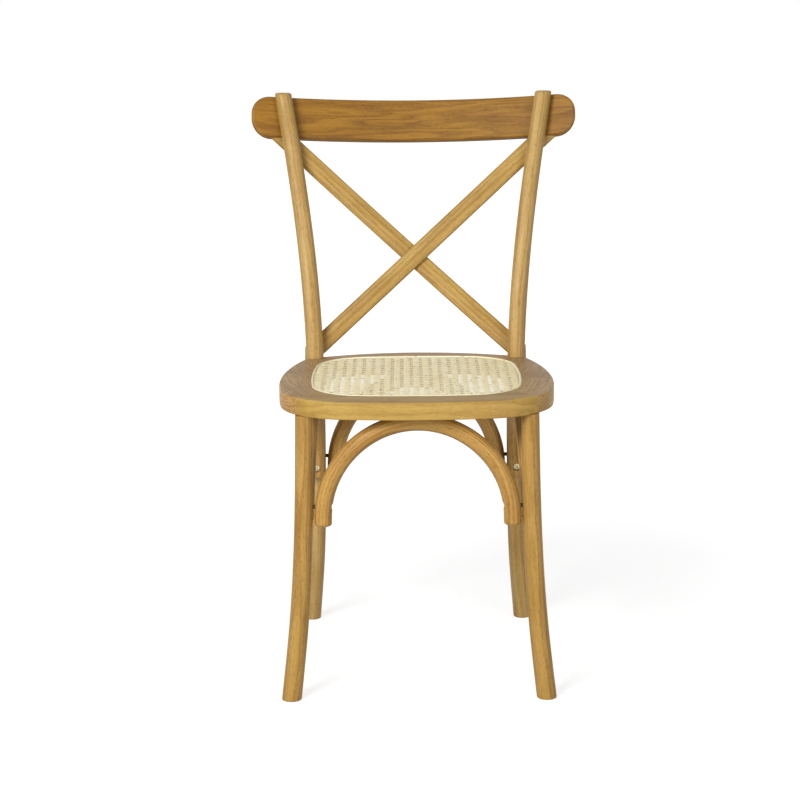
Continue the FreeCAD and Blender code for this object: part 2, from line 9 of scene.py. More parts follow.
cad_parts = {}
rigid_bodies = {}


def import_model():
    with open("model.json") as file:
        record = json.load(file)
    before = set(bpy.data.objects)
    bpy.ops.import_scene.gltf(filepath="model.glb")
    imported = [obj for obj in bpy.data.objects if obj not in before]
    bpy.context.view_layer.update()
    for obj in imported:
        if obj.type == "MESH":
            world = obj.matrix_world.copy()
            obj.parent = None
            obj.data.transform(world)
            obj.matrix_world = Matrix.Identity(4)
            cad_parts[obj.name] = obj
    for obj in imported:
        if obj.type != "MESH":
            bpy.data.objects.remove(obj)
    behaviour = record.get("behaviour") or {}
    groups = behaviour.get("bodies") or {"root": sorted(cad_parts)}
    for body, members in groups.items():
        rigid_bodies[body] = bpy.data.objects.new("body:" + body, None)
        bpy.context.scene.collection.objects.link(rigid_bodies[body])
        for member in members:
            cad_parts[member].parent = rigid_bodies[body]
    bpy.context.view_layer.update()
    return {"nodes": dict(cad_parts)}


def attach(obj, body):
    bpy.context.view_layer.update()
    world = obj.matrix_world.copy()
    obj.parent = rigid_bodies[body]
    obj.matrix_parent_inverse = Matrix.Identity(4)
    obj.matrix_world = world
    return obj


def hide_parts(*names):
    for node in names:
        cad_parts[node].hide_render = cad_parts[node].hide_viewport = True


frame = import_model()


# Back posts
# Each is one long rod of elm, turned, steamed and bent. It stands on the floor, passes the seat's
# rear corner in a round notch, and carries the top rail and the slats, screwed on from behind.

MM = 0.001
MIDDLE_Y = 69.591       # of the whole chair, in sizes that start 200 mm behind the seat's front edge
POST_POINTS = [(178.7, 241.0, 0), (168.8, 209.0, 115), (163.4, 180.0, 265), (162.3, 169.5, 400),
               (167.5, 181.0, 548), (179.0, 214.5, 662), (195.6, 253.6, 775), (213.9, 291.4, 883)]
POST_FOOT_RADIUS = 14.6
POST_TOP_RADIUS = 13.4
POST_TOP_ROUND = 3.0
FOOT_ROUND = 1.5
TOUCH = 0.1             # left between two pieces that are fitted to each other
ROOM_BELOW = 5.0        # how far the room that a post is cut from others runs past its ends
ROOM_ABOVE = 15.0
POST_BOLT = dict(head=6.0, height=4.5, shank=3.4, length=62.0)
HEAD_ROOM = 0.2         # round a screw's head, on the radius
HEAD_SUNK = 0.1         # how much deeper its recess is than the head
RECESS_ABOVE = 12.0     # how far the cutter stands above the head
ROD_SIDES = 48
RECESS_SIDES = 40
RING_PITCH = 5.0
ROUND_STEPS = 6
GRAIN_PITCH = 4.0
GRAIN_BEYOND = 10.0
BATCH = 4000


def placed(points):
    """Points moved from where sizes start to where y = 0 is the middle of the chair."""
    return np.array(points, float) - (0, MIDDLE_Y, 0)


def unit(vectors):
    vectors = np.asarray(vectors, float)
    return vectors / np.linalg.norm(vectors, axis=-1, keepdims=True)


class BentLine:
    """The middle of a bent rod that rises through its points, with its ends run on straight."""

    SPARE = 30.0

    def __init__(self, points, foot_radius, top_radius):
        points = placed(points)
        first = points[0] - unit(points[1] - points[0]) * self.SPARE
        last = points[-1] + unit(points[-1] - points[-2]) * self.SPARE
        self.foot_radius = foot_radius
        self.taper = (top_radius - foot_radius) / points[-1][2]
        points = np.vstack([first, points, last])
        self.levels = points[:, 2]
        self.places = points[:, :2]
        self.bends = self.solve_bends()

    def solve_bends(self):
        """How much the line curves at each point, for a smooth cubic through all of them."""
        gaps = np.diff(self.levels)
        slopes = np.diff(self.places, axis=0) / gaps[:, None]
        matrix = np.eye(len(self.levels))
        sides = np.zeros_like(self.places)
        for i in range(1, len(gaps)):
            matrix[i, i - 1:i + 2] = gaps[i - 1], 2 * (gaps[i - 1] + gaps[i]), gaps[i]
            sides[i] = 6 * (slopes[i] - slopes[i - 1])
        return np.linalg.solve(matrix, sides)

    def at(self, z):
        """The middle of the rod at each level."""
        z = np.atleast_1d(np.asarray(z, float))
        i = np.clip(np.searchsorted(self.levels, z) - 1, 0, len(self.levels) - 2)
        gap = self.levels[i + 1] - self.levels[i]
        after = ((z - self.levels[i]) / gap)[:, None]
        before = 1 - after
        bend = (before ** 3 - before) * self.bends[i] + (after ** 3 - after) * self.bends[i + 1]
        places = before * self.places[i] + after * self.places[i + 1] + bend * (gap ** 2)[:, None] / 6
        return np.column_stack([places, z])

    def heading(self, z):
        z = np.atleast_1d(np.asarray(z, float))
        return unit(self.at(z + 0.5) - self.at(z - 0.5))

    def radius(self, z):
        return self.foot_radius + self.taper * np.asarray(z, float)


def rounded_steps(low, high, low_round, high_round, pitch):
    """Steps from low to high, and how far in the surface is at each where the ends are rounded."""
    turns = np.linspace(0, math.pi / 2, ROUND_STEPS)
    count = max(2, round((high - low - low_round - high_round) / pitch))
    steps = np.linspace(low + low_round, high - high_round, count)
    insets = np.zeros(count)
    if low_round:
        steps = np.concatenate([low + low_round * (1 - np.cos(turns)), steps[1:]])
        insets = np.concatenate([low_round * (1 - np.sin(turns)), insets[1:]])
    if high_round:
        steps = np.concatenate([steps[:-1], high - high_round * (1 - np.cos(turns[::-1]))])
        insets = np.concatenate([insets[:-1], high_round * (1 - np.sin(turns[::-1]))])
    return steps, insets


def rod_rings(line, low, high, low_round=0.0, high_round=0.0, grow=0.0):
    """Level rings of points up a bent rod."""
    levels, insets = rounded_steps(low, high, low_round, high_round, RING_PITCH)
    heading = line.heading(levels)
    lean = np.hypot(heading[:, 0], heading[:, 1])[:, None]
    lean_turn = np.arctan2(heading[:, 1], heading[:, 0])[:, None]
    turns = np.linspace(0, 2 * math.pi, ROD_SIDES, endpoint=False)[None, :]
    radius = (line.radius(levels) + grow - insets)[:, None]
    along = np.cos(turns - lean_turn) * np.sqrt(1 - lean ** 2)
    reach = radius / np.sqrt(along ** 2 + np.sin(turns - lean_turn) ** 2)
    middle = line.at(levels)
    rings = np.empty((len(levels), ROD_SIDES, 3))
    rings[:, :, 0] = middle[:, :1] + reach * np.cos(turns)
    rings[:, :, 1] = middle[:, 1:2] + reach * np.sin(turns)
    rings[:, :, 2] = middle[:, 2:]
    return rings


def skin(rings):
    """The faces over rings of points, with a flat end on the first and the last ring."""
    count, sides = rings.shape[:2]
    last = (count - 1) * sides
    faces = []
    for here in range(0, last, sides):
        there = here + sides
        for j in range(sides):
            k = (j + 1) % sides
            faces.append((here + j, here + k, there + k, there + j))
    return faces + [tuple(range(sides)), tuple(range(last, last + sides))]


def new_piece(name, points, faces):
    """A mesh object from points in millimetres."""
    mesh = bpy.data.meshes.new(name)
    mesh.from_pydata((np.asarray(points).reshape(-1, 3) * MM).tolist(), [], faces)
    shell = bmesh.new()
    shell.from_mesh(mesh)
    bmesh.ops.recalc_face_normals(shell, faces=shell.faces)
    shell.to_mesh(mesh)
    shell.free()
    piece = bpy.data.objects.new(name, mesh)
    bpy.context.scene.collection.objects.link(piece)
    return piece


def cut(piece, *tools):
    """Cuts each tool's shape out of the piece."""
    for tool in tools:
        step = piece.modifiers.new("cut", "BOOLEAN")
        step.operation = "DIFFERENCE"
        step.solver = "EXACT"
        step.object = tool
    bpy.context.view_layer.update()
    shaped = piece.evaluated_get(bpy.context.evaluated_depsgraph_get())
    mesh = bpy.data.meshes.new_from_object(shaped)
    piece.modifiers.clear()
    piece.data = mesh


def screw_places(node):
    """Where the middle of each screw's head is in a CAD node of screws, and the way each points."""
    shell = bmesh.new()
    shell.from_mesh(frame["nodes"][node].data)
    bmesh.ops.remove_doubles(shell, verts=shell.verts, dist=1e-6)
    left = dict.fromkeys(shell.verts)       # in order, so that the screws come in the same order each run
    places = []
    while left:
        found = [left.popitem()[0]]
        for vert in found:
            for edge in vert.link_edges:
                other = edge.other_vert(vert)
                if other in left:
                    del left[other]
                    found.append(other)
        points = np.array([vert.co for vert in found]) / MM
        middle = (points.min(0) + points.max(0)) / 2
        way = np.linalg.svd(points - points.mean(0), full_matrices=False)[2][0]
        along = (points - middle) @ way
        off = np.linalg.norm(points - middle - along[:, None] * way, axis=1)
        if off[along > 0].max() > off[along < 0].max():
            way, along = -way, -along
        tip = points[along > along.max() - 0.05].mean(0)
        places.append((tip - way * (along.max() - along.min()), way))
    shell.free()
    return places


def sides_of(way):
    """Two directions square to a screw and to each other."""
    side = unit(np.cross(way, (0.31, 0.17, 0.93)))
    return side, np.cross(way, side)


def turned(place, steps, count):
    """Rings round a screw's axis, each of a radius and at a depth below the top of its head."""
    head, way = place
    side, other = sides_of(way)
    turns = np.linspace(0, 2 * math.pi, count, endpoint=False)[:, None]
    ring = np.cos(turns) * side + np.sin(turns) * other
    return np.stack([head + way * depth + ring * radius for radius, depth in steps])


def gathered(name, shapes):
    """One piece of several shapes that have as many rings and sides as each other."""
    each = shapes[0].size // 3
    faces = [tuple(i * each + v for v in face) for i, rings in enumerate(shapes) for face in skin(rings)]
    return new_piece(name, np.array(shapes), faces)


def recesses(node, screw):
    """A cutter for the round recesses that the heads of a CAD node's screws lie in."""
    radius = screw["head"] + HEAD_ROOM
    steps = [(radius, -RECESS_ABOVE), (radius, screw["height"] + HEAD_SUNK)]
    return gathered("cutter", [turned(place, steps, RECESS_SIDES) for place in screw_places(node)])


def lay_grain(piece, middles, across, up, cut_from):
    """Gives each point its place in the straight stock that the piece was made from, in millimetres:
    across it, up it and along it, so that the grain follows every bend. Pieces are cut from different
    places in the stock, so that no two show the same figure."""
    mesh = piece.data
    points = np.empty(len(mesh.vertices) * 3)
    mesh.vertices.foreach_get("co", points)
    points = points.reshape(-1, 3) / MM
    middles = np.asarray(middles, float)
    along = np.concatenate([[0], np.cumsum(np.linalg.norm(np.diff(middles, axis=0), axis=1))])
    across = np.broadcast_to(unit(across), middles.shape)
    up = np.broadcast_to(unit(up), middles.shape)
    forward = np.cross(across, up)
    nearest = np.empty(len(points), int)
    for start in range(0, len(points), BATCH):
        gaps = points[start:start + BATCH, None, :] - middles[None]
        nearest[start:start + BATCH] = (gaps ** 2).sum(2).argmin(1)
    offset = points - middles[nearest]
    grain = np.column_stack([(offset * across[nearest]).sum(1), (offset * up[nearest]).sum(1),
                             along[nearest] + (offset * forward[nearest]).sum(1)])
    layer = mesh.attributes.get("grain") or mesh.attributes.new("grain", "FLOAT_VECTOR", "POINT")
    layer.data.foreach_set("vector", (grain + np.array(cut_from, float)).ravel())


def finish(piece, material, slot, *nodes):
    """Rounds the shading, finishes the surface, hangs the piece on the root body and hides the CAD nodes
    it stands in for.
    """
    piece.data.materials.clear()
    piece.data.materials.append(material)
    piece.data.shade_smooth()
    piece.data.set_sharp_from_angle(angle=math.radians(38))
    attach(piece, "root")
    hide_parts(*nodes)


def colour(code):
    """An sRGB hex value as linear light."""
    parts = [int(code[i:i + 2], 16) / 255 for i in (1, 3, 5)]
    return tuple(c / 12.92 if c <= 0.04045 else ((c + 0.055) / 1.055) ** 2.4 for c in parts) + (1.0,)


def add(tree, kind, inputs, output=0, **settings):
    """Adds a shader node, with its settings and its inputs set or linked, and gives one output."""
    node = tree.nodes.new("ShaderNode" + kind)
    for name, value in settings.items():
        setattr(node, name, value)
    for socket, value in inputs.items():
        if isinstance(value, bpy.types.NodeSocket):
            tree.links.new(value, node.inputs[socket])
        else:
            node.inputs[socket].default_value = value
    return node.outputs[output] if node.outputs else None


def new_material(name):
    """A new material, and its empty node tree."""
    material = bpy.data.materials.new(name)
    material.use_nodes = True
    material.node_tree.nodes.clear()
    return material, material.node_tree


def surfaced(material, shader):
    """Gives a material its one shader."""
    surface = add(material.node_tree, "BsdfPrincipled", shader)
    add(material.node_tree, "OutputMaterial", {"Surface": surface})
    return material


def figure(tree, across, along, detail=2.0, rough=0.5):
    """Soft patches in the stock, that many millimetres across the grain and along it."""
    grain = add(tree, "Attribute", {}, "Vector", attribute_name="grain")
    drawn_out = add(tree, "VectorMath", {0: grain, 1: (1 / across, 1 / across, 1 / along)},
                    operation="MULTIPLY")
    return add(tree, "TexNoise", {"Vector": drawn_out, "Scale": 1.0, "Detail": detail,
                                  "Roughness": rough})


# Below, a MapRange takes its value at 0, its limits at 1 and 2 and what they become at 3 and 4, and
# a Mix takes its share at 0, its colours at 6 and 7, and gives its result at 2.

def lacquered_elm(name, pale, deep, pore, layer=5.0, tilt=0.5, wander=1.6, depth=0.3, pores=0.42,
                  sheen=0.48, painted_top_sheen=0.0):
    """Elm under satin lacquer. Its growth layers, layer millimetres apart and tilted in the stock, show
    as soft bands that wander, fine streaks run with them, and open pores show as short dark flecks
    along the grain, drawn a little coarser than real ones so that they show. The last argument is how
    much painted sheen and painted shade grey and darken it where it faces up."""
    material, tree = new_material(name)
    soft = {"interpolation_type": "SMOOTHSTEP"}
    grain = add(tree, "Attribute", {}, "Vector", attribute_name="grain")
    through_layers = (math.sin(tilt) / layer, math.cos(tilt) / layer, 0)
    level = add(tree, "VectorMath", {0: grain, 1: through_layers}, "Value", operation="DOT_PRODUCT")
    level = add(tree, "Math", {0: figure(tree, 24.0, 260.0), 1: 2 * wander, 2: level},
                operation="MULTIPLY_ADD")
    level = add(tree, "Math", {0: level}, operation="FRACT")
    rising = add(tree, "MapRange", {0: level, 1: 0.0, 2: 0.18}, **soft)
    falling = add(tree, "MapRange", {0: level, 1: 0.9, 2: 0.2}, **soft)
    early_wood = add(tree, "Math", {0: rising, 1: falling}, operation="MULTIPLY")
    streaks = add(tree, "MapRange", {0: figure(tree, 1.5, 40.0, 3.0, 0.65), 1: 0.25, 2: 0.75}, **soft)
    clouds = add(tree, "MapRange", {0: figure(tree, 26.0, 110.0), 1: 0.25, 2: 0.75}, **soft)
    tone = add(tree, "Math", {0: clouds, 1: 0.4}, operation="MULTIPLY")
    tone = add(tree, "Math", {0: streaks, 1: 0.32, 2: tone}, operation="MULTIPLY_ADD")
    tone = add(tree, "Math", {0: early_wood, 1: depth, 2: tone}, operation="MULTIPLY_ADD")
    tone = add(tree, "MapRange", {0: tone, 1: 0.0, 2: 0.72 + depth}, **soft)
    wood = add(tree, "Mix", {0: tone, 6: colour(pale), 7: colour(deep)}, 2, data_type="RGBA")
    flecks = add(tree, "MapRange", {0: figure(tree, 1.1, 7.0, 1.0), 1: 0.54, 2: 0.66}, **soft)
    crowded = add(tree, "Math", {0: early_wood, 1: 0.4, 2: 0.6}, operation="MULTIPLY_ADD")
    flecks = add(tree, "Math", {0: flecks, 1: crowded}, operation="MULTIPLY")
    dark = add(tree, "Math", {0: flecks, 1: pores}, operation="MULTIPLY")
    wood = add(tree, "Mix", {0: dark, 6: wood, 7: colour(pore)}, 2, data_type="RGBA")
    # Painted sheen and painted shade: faces that point up are greyed and darkened, for the glancing sheen
    # and the dimmer light on top.
    if painted_top_sheen:
        facing = add(tree, "NewGeometry", {}, "Normal")
        facing_up = add(tree, "SeparateXYZ", {"Vector": facing}, "Z")
        painted_sheen_tone = add(tree, "HueSaturation", {"Saturation": 0.88, "Value": 0.78, "Color": wood})
        painted_sheen_share = add(tree, "MapRange", {0: facing_up, 1: 0.5, 2: 1.0, 4: painted_top_sheen}, **soft)
        wood = add(tree, "Mix", {0: painted_sheen_share, 6: wood, 7: painted_sheen_tone}, 2, data_type="RGBA")
    rough = add(tree, "MapRange", {0: streaks, 3: sheen - 0.05, 4: sheen + 0.08}, **soft)
    between_pores = add(tree, "Math", {0: 1.0, 1: flecks}, operation="SUBTRACT")
    dents = add(tree, "Bump", {"Strength": 0.3, "Distance": 0.12 * MM, "Height": between_pores})
    return surfaced(material, {"Base Color": wood, "Roughness": rough, "Normal": dents, "IOR": 1.5,
                               "Specular IOR Level": 0.3, "Coat Weight": 0.05, "Coat Roughness": 0.45})


# The posts are stained honey: the stain leaves the late wood golden and settles in the pores.
honey_elm = lacquered_elm("honey_lacquered_elm", "#C5A364", "#A58040", "#6F4D23")

post_line = BentLine(POST_POINTS, POST_FOOT_RADIUS, POST_TOP_RADIUS)
RIGHT = np.array([1.0, 0, 0])
UP = np.array([0, 0, 1.0])


def upright_grain(piece, line, side, top, cut_from):
    """The grain of a rod that stands: along the rod's own line."""
    levels = np.arange(-GRAIN_BEYOND, top + GRAIN_BEYOND, GRAIN_PITCH)
    middles = line.at(levels)
    middles[:, 0] *= side
    heading = unit(np.gradient(middles, axis=0))
    across = unit(RIGHT - heading * heading[:, :1])
    lay_grain(piece, middles, across, np.cross(heading, across), cut_from)


POST_TOP_Z = POST_POINTS[-1][2]
post_shape = rod_rings(post_line, 0, POST_TOP_Z, FOOT_ROUND, POST_TOP_ROUND)
post_room = rod_rings(post_line, -ROOM_BELOW, POST_TOP_Z + ROOM_ABOVE, grow=TOUCH)
post_rooms = [new_piece("post_room", post_room * (side, 1, 1), skin(post_room)) for side in (1, -1)]
post_bolt_heads = recesses("post_seat_bolts", POST_BOLT)
for side, name in ((1, "right"), (-1, "left")):
    post = new_piece("post_" + name, post_shape * (side, 1, 1), skin(post_shape))
    cut(post, post_bolt_heads)
    upright_grain(post, post_line, side, POST_TOP_Z, (31 * side, 12, 400 + 800 * side))
    finish(post, honey_elm, "frame_wood", "back_post_" + name)


# Front legs
# Shorter rods of the same elm, bent out a little at the foot, each with a round tenon on its top
# that is glued into the seat's corner.

LEG_POINTS = [(192.7, -166.0, 0), (181.0, -161.0, 105), (172.3, -157.0, 230), (168.6, -154.0, 345),
              (167.2, -152.5, 436)]
LEG_FOOT_RADIUS = 15.0
LEG_TOP_RADIUS = 13.3
TENON_RADIUS = 9.0
TENON_LENGTH = 16.0

leg_line = BentLine(LEG_POINTS, LEG_FOOT_RADIUS, LEG_TOP_RADIUS)
leg_top = placed(LEG_POINTS[-1])


def round_bar(middle, radius, height):
    """Two level rings of points, one above the other."""
    turns = np.linspace(0, 2 * math.pi, ROD_SIDES, endpoint=False)
    ring = np.column_stack([np.cos(turns), np.sin(turns), turns * 0]) * radius + middle
    return np.stack([ring, ring + UP * height])


# The front legs use a darker, more saturated copy of the posts' honey elm, which paints shade onto them.
shaded_honey_elm = lacquered_elm("shaded_honey_lacquered_elm", "#BC944C", "#956C28", "#5C3C13")
leg_shape = np.concatenate([rod_rings(leg_line, 0, leg_top[2], FOOT_ROUND, 0),
                            round_bar(leg_top, TENON_RADIUS, TENON_LENGTH)])
for side, name in ((1, "right"), (-1, "left")):
    leg = new_piece("leg_" + name, leg_shape * (side, 1, 1), skin(leg_shape))
    upright_grain(leg, leg_line, side, leg_top[2] + TENON_LENGTH, (-23 * side, 40, 3000 + 600 * side))
    finish(leg, shaded_honey_elm, "frame_wood", "front_leg_" + name)


# Seat boards
# Four boards of elm, sawn to a curve, mitred and doweled into a ring, with a rounded edge above
# and below. A lip inside carries the cane, with a groove round it for the reed.

SEAT_TOP = 463.0
SEAT_THICK = 27.0
SEAT_UNDER = SEAT_TOP - SEAT_THICK
SEAT_TOP_ROUND = 3.0
SEAT_BOTTOM_ROUND = 2.0
SEAT_HALF_WIDTH = 210.0
SEAT_Y = (-200.0, -22.0, 211.0)         # its front, where it is widest, and its rear
SEAT_RADII = (800.0, 540.0, 350.0)      # of the front, the sides and the rear
SEAT_CORNERS = (112.0, 26.0)            # radii at the front and at the rear
FRONT_MITRE_Y = 24.0                    # where the lines of the two front mitres meet
REAR_MITRE_Y = -2.0
CANE_HALF_WIDTH = 162.0
CANE_Y = (-152.0, 10.75, 173.5)
CANE_RADII = (900.0, 900.0, 900.0)
CANE_CORNERS = (84.0, 84.0)
CANE_THICK = 1.6
GROOVE_WIDTH = 5.0
GROOVE_DEPTH = 8.0
GROOVE_EASE = 0.4       # the sharpness taken off its edge
LIP_WIDTH = 12.0
OUTER_LINE = 12.0       # two lines on the flat top, this far inside the edge and outside the groove,
INNER_LINE = 6.0        # which keep its shading even
SEAM = 0.35             # how far the edges are eased at the mitres
MITRE_REACH = 220.0     # about how far the seat's corners are from where its mitres meet
BOARD_SECTIONS = 200
ARC_STEPS = 300
MORTISE_SPARE = 1.0
HEART_DOWN = 60.0       # how far under the seat's top the heart of the tree lay


class Outline:
    """Four big arcs joined by smaller ones at the corners, and every line parallel to that."""

    def __init__(self, half_width, levels, radii, corners):
        front, widest, rear = np.array(levels) - MIDDLE_Y
        front_radius, side_radius, rear_radius = radii
        right = (np.array([half_width - side_radius, widest]), side_radius)
        front = (np.array([0, front + front_radius]), front_radius)
        rear = (np.array([0, rear - rear_radius]), rear_radius)
        front_corner = self.corner(front, right, corners[0])
        rear_corner = self.corner(rear, right, corners[1])
        turns = [-math.pi / 2, self.turn(front, front_corner), self.turn(right, front_corner),
                 self.turn(right, rear_corner), self.turn(rear, rear_corner), math.pi / 2]
        arcs = [(front, 0), (front_corner, 1), (right, 2), (rear_corner, 3), (rear, 4)]
        middles, ways, radii = [], [], []
        for (middle, radius), i in arcs:
            span = np.linspace(turns[i], turns[i + 1], ARC_STEPS, endpoint=False)
            middles.append(np.tile(middle, (len(span), 1)))
            ways.append(np.column_stack([np.cos(span), np.sin(span)]))
            radii.append(np.full(len(span), radius))
        flip = np.array([-1.0, 1])
        self.middles = np.concatenate(middles + [m[::-1] * flip for m in middles[::-1]])
        self.ways = np.concatenate(ways + [w[::-1] * flip for w in ways[::-1]])
        self.radii = np.concatenate(radii + [r[::-1] for r in radii[::-1]])

    @staticmethod
    def corner(end, right, radius):
        """The circle of that radius that touches both arcs from inside."""
        first, second = end[1] - radius, right[1] - radius
        between = right[0] - end[0]
        span = np.linalg.norm(between)
        along = (first ** 2 - second ** 2 + span ** 2) / (2 * span)
        off = math.sqrt(first ** 2 - along ** 2)
        way = between / span
        options = [end[0] + way * along + np.array([-way[1], way[0]]) * off * s for s in (1, -1)]
        return max(options, key=lambda point: point[0]), radius

    @staticmethod
    def turn(big, corner):
        """The direction from the big arc's middle to where the corner arc touches it."""
        gap = corner[0] - big[0]
        return math.atan2(gap[1], gap[0])

    def points(self, inset):
        return self.middles + self.ways * (self.radii - inset)[:, None]

    def crossing(self, origin, turns, inset):
        """Where rays from the origin, at these turns from +X, meet the line at that inset."""
        gaps = self.points(inset) - origin
        found = np.arctan2(gaps[:, 1], gaps[:, 0])
        order = np.argsort(found)
        found, reach = found[order], np.linalg.norm(gaps, axis=1)[order]
        found = np.concatenate([found - 2 * math.pi, found, found + 2 * math.pi])
        far = np.interp(turns, found, np.tile(reach, 3))
        return origin + np.column_stack([np.cos(turns), np.sin(turns)]) * far[:, None]


seat_edge = Outline(SEAT_HALF_WIDTH, SEAT_Y, SEAT_RADII, SEAT_CORNERS)
cane_edge = Outline(CANE_HALF_WIDTH, CANE_Y, CANE_RADII, CANE_CORNERS)


def round_profile(inset, z, radius, z_way):
    """Steps round an edge, from its upright face to its level one."""
    turns = np.linspace(0, math.pi / 2, ROUND_STEPS)
    return [(seat_edge, inset + radius * (1 - math.cos(t)), z - z_way * radius * (1 - math.sin(t)))
            for t in turns]


LIP_EDGE = GROOVE_WIDTH + LIP_WIDTH
LIP_TOP = SEAT_TOP - CANE_THICK
GROOVE_FLOOR = SEAT_TOP - GROOVE_DEPTH
board_profile = (
    round_profile(0, SEAT_TOP, SEAT_TOP_ROUND, 1)
    + [(seat_edge, OUTER_LINE, SEAT_TOP), (cane_edge, -INNER_LINE, SEAT_TOP),
       (cane_edge, -GROOVE_EASE, SEAT_TOP), (cane_edge, 0, SEAT_TOP - GROOVE_EASE),
       (cane_edge, 0, GROOVE_FLOOR), (cane_edge, GROOVE_WIDTH, GROOVE_FLOOR),
       (cane_edge, GROOVE_WIDTH, LIP_TOP), (cane_edge, LIP_EDGE, LIP_TOP),
       (cane_edge, LIP_EDGE, SEAT_UNDER)]
    + round_profile(0, SEAT_UNDER, SEAT_BOTTOM_ROUND, -1)[::-1])


def board_rings(origin, facing):
    """Sections of one board from mitre to mitre, each on a ray from where its mitres meet."""
    ease_turn = SEAM / MITRE_REACH
    half = math.pi / 4
    inner = np.linspace(-half + ease_turn, half - ease_turn, BOARD_SECTIONS)
    turns = facing + np.concatenate([[-half], inner, [half]])
    rings = np.empty((len(turns), len(board_profile), 3))
    for j, (edge, inset, z) in enumerate(board_profile):
        eased_inset = max(inset, SEAM) if edge is seat_edge else inset
        rings[:, j, :2] = edge.crossing(origin, turns, inset)
        rings[:, j, 2] = z
        for end in (0, -1):
            rings[end, j, :2] = edge.crossing(origin, turns[[end]], eased_inset)[0]
            rings[end, j, 2] = min(max(z, SEAT_UNDER + SEAM), SEAT_TOP - SEAM)
    return rings


# The boards are as golden as the legs. The front one has long soft streaks. The others are plain sawn,
# so dark wavy layers show in their tops.
# All four boards take painted sheen and painted shade on their tops, greyed and darkened where they face
# up.
golden_elm = lacquered_elm("golden_lacquered_elm", "#C09D50", "#A47E39", "#775628", layer=14.0,
                           tilt=0.25, wander=1.2, depth=0.35, pores=0.35, painted_top_sheen=0.9)
umber_elm = lacquered_elm("umber_lacquered_elm", "#CDA25A", "#9C723A", "#5C4120", layer=4.2,
                          tilt=0.7, wander=3.2, depth=0.28, pores=0.6, painted_top_sheen=0.9)
mortises = []
for side in (1, -1):
    room = round_bar(leg_top * (side, 1, 1), TENON_RADIUS + TOUCH, TENON_LENGTH + MORTISE_SPARE)
    room[0] -= UP * MORTISE_SPARE
    mortises.append(new_piece("mortise", room, skin(room)))
side_x = (FRONT_MITRE_Y - REAR_MITRE_Y) / 2
side_y = (FRONT_MITRE_Y + REAR_MITRE_Y) / 2
boards = [("front", (0, FRONT_MITRE_Y), -math.pi / 2, (1, 0, 0), (0, 0, 1200), golden_elm),
          ("rear", (0, REAR_MITRE_Y), math.pi / 2, (1, 0, 0), (70, 0, 2400), umber_elm),
          ("right", (side_x, side_y), 0.0, (0.25, 1, 0), (130, 0, 3100), umber_elm),
          ("left", (-side_x, side_y), math.pi, (-0.25, 1, 0), (260, 0, 4300), umber_elm)]
for name, mitres_meet, facing, length_way, cut_from, stained in boards:
    heart = placed([(*mitres_meet, SEAT_TOP - HEART_DOWN)])
    rings = board_rings(heart[0, :2], facing)
    board = new_piece("seat_board_" + name, rings, skin(rings))
    cut(board, *post_rooms, *mortises)
    lay_grain(board, heart, np.cross(UP, unit(length_way)), UP, cut_from)
    finish(board, stained, "seat_wood", "seat_rail_" + name)


# Cane
# Split rattan, woven by machine in six ways into octagons: pairs of strands across and from front
# to back, and single diagonals. Its edge is turned down into the groove and glued. The strands are
# drawn wider than real ones, so that the holes look as small from the front as they should.

PITCH = 15.0
PAIR = 4.6              # between the two strands of a pair
STRAND_WIDTH = 4.4
REAL_WIDTH = 2.5        # of a strand, for the lines in its skin
STRAND_THICK = 0.45
STRAND_SECTION = ((-0.5, 0), (0.5, 0), (0.42, 0.8), (0, 1.0), (-0.42, 0.8))    # shares of the two
STRAND_STEP = PITCH / 8
STRAND_END = 0.9        # left between its last step and the turned edge
SHORTEST_STRAND = 12.0
PAIRS_EACH_SIDE = 12
WEAVE = 0.3             # how far a paired strand rises and falls
DIAGONAL_WEAVE = 0.55
SAG = 1.5
SAG_REACH = (150.0, 155.0)
TURNED_INSET = 4.1
TURNED_DOWN = 6.0
TURNED_STEPS = ((-0.5, 1.0), (-0.1, 1.5), (0.0, 2.4), (0.0, TURNED_DOWN))      # out and down
STOCK_SPAN = 4000.0

turned_edge = cane_edge.points(TURNED_INSET)
cane_middle = np.array([0, CANE_Y[1] - MIDDLE_Y])


def span_inside(point, way):
    """Where a straight line enters and leaves the turned edge, as lengths along it."""
    side = np.array([-way[1], way[0]])
    off = (turned_edge - point) @ side
    far = (turned_edge - point) @ way
    nxt = np.roll(off, -1)
    hits = np.nonzero(off * nxt < 0)[0]
    share = off[hits] / (off[hits] - nxt[hits])
    found = far[hits] + share * (np.roll(far, -1)[hits] - far[hits])
    return (found.min(), found.max()) if len(found) > 1 else None


def strand_line(point, way, height):
    """The middle of one strand's underside, with both ends turned down."""
    span = span_inside(point, way)
    if span is None or span[1] - span[0] < SHORTEST_STRAND:
        return None
    first, last = math.ceil(span[0] / STRAND_STEP), math.floor(span[1] / STRAND_STEP)
    steps = np.arange(first, last + 1) * STRAND_STEP
    steps = steps[(steps > span[0] + STRAND_END) & (steps < span[1] - STRAND_END)]
    flat = point + steps[:, None] * way
    off = (flat - cane_middle) / SAG_REACH
    dip = SAG * np.clip(1 - (off ** 2).sum(1), 0, 1)
    z = SEAT_TOP - CANE_THICK / 2 - STRAND_THICK / 2 - dip + height(steps)
    middle = np.column_stack([flat, z])
    for end, sign in ((0, -1), (-1, 1)):
        edge = point + span[end] * way
        turned_part = [(*(edge + sign * out * way), SEAT_TOP - down) for out, down in TURNED_STEPS]
        middle = np.vstack([turned_part[::-1], middle] if end == 0 else [middle, turned_part])
    return middle


def strand_rings(middle):
    """A split strand's section along its line: flat below and crowned above."""
    heading = unit(np.gradient(middle, axis=0))
    run = unit((middle[-1] - middle[0]) * (1, 1, 0))
    across = np.cross(UP, run)
    normal = unit(np.cross(heading, across))
    return np.stack([middle + across * (a * STRAND_WIDTH) + normal * (u * STRAND_THICK)
                     for a, u in STRAND_SECTION], axis=1)


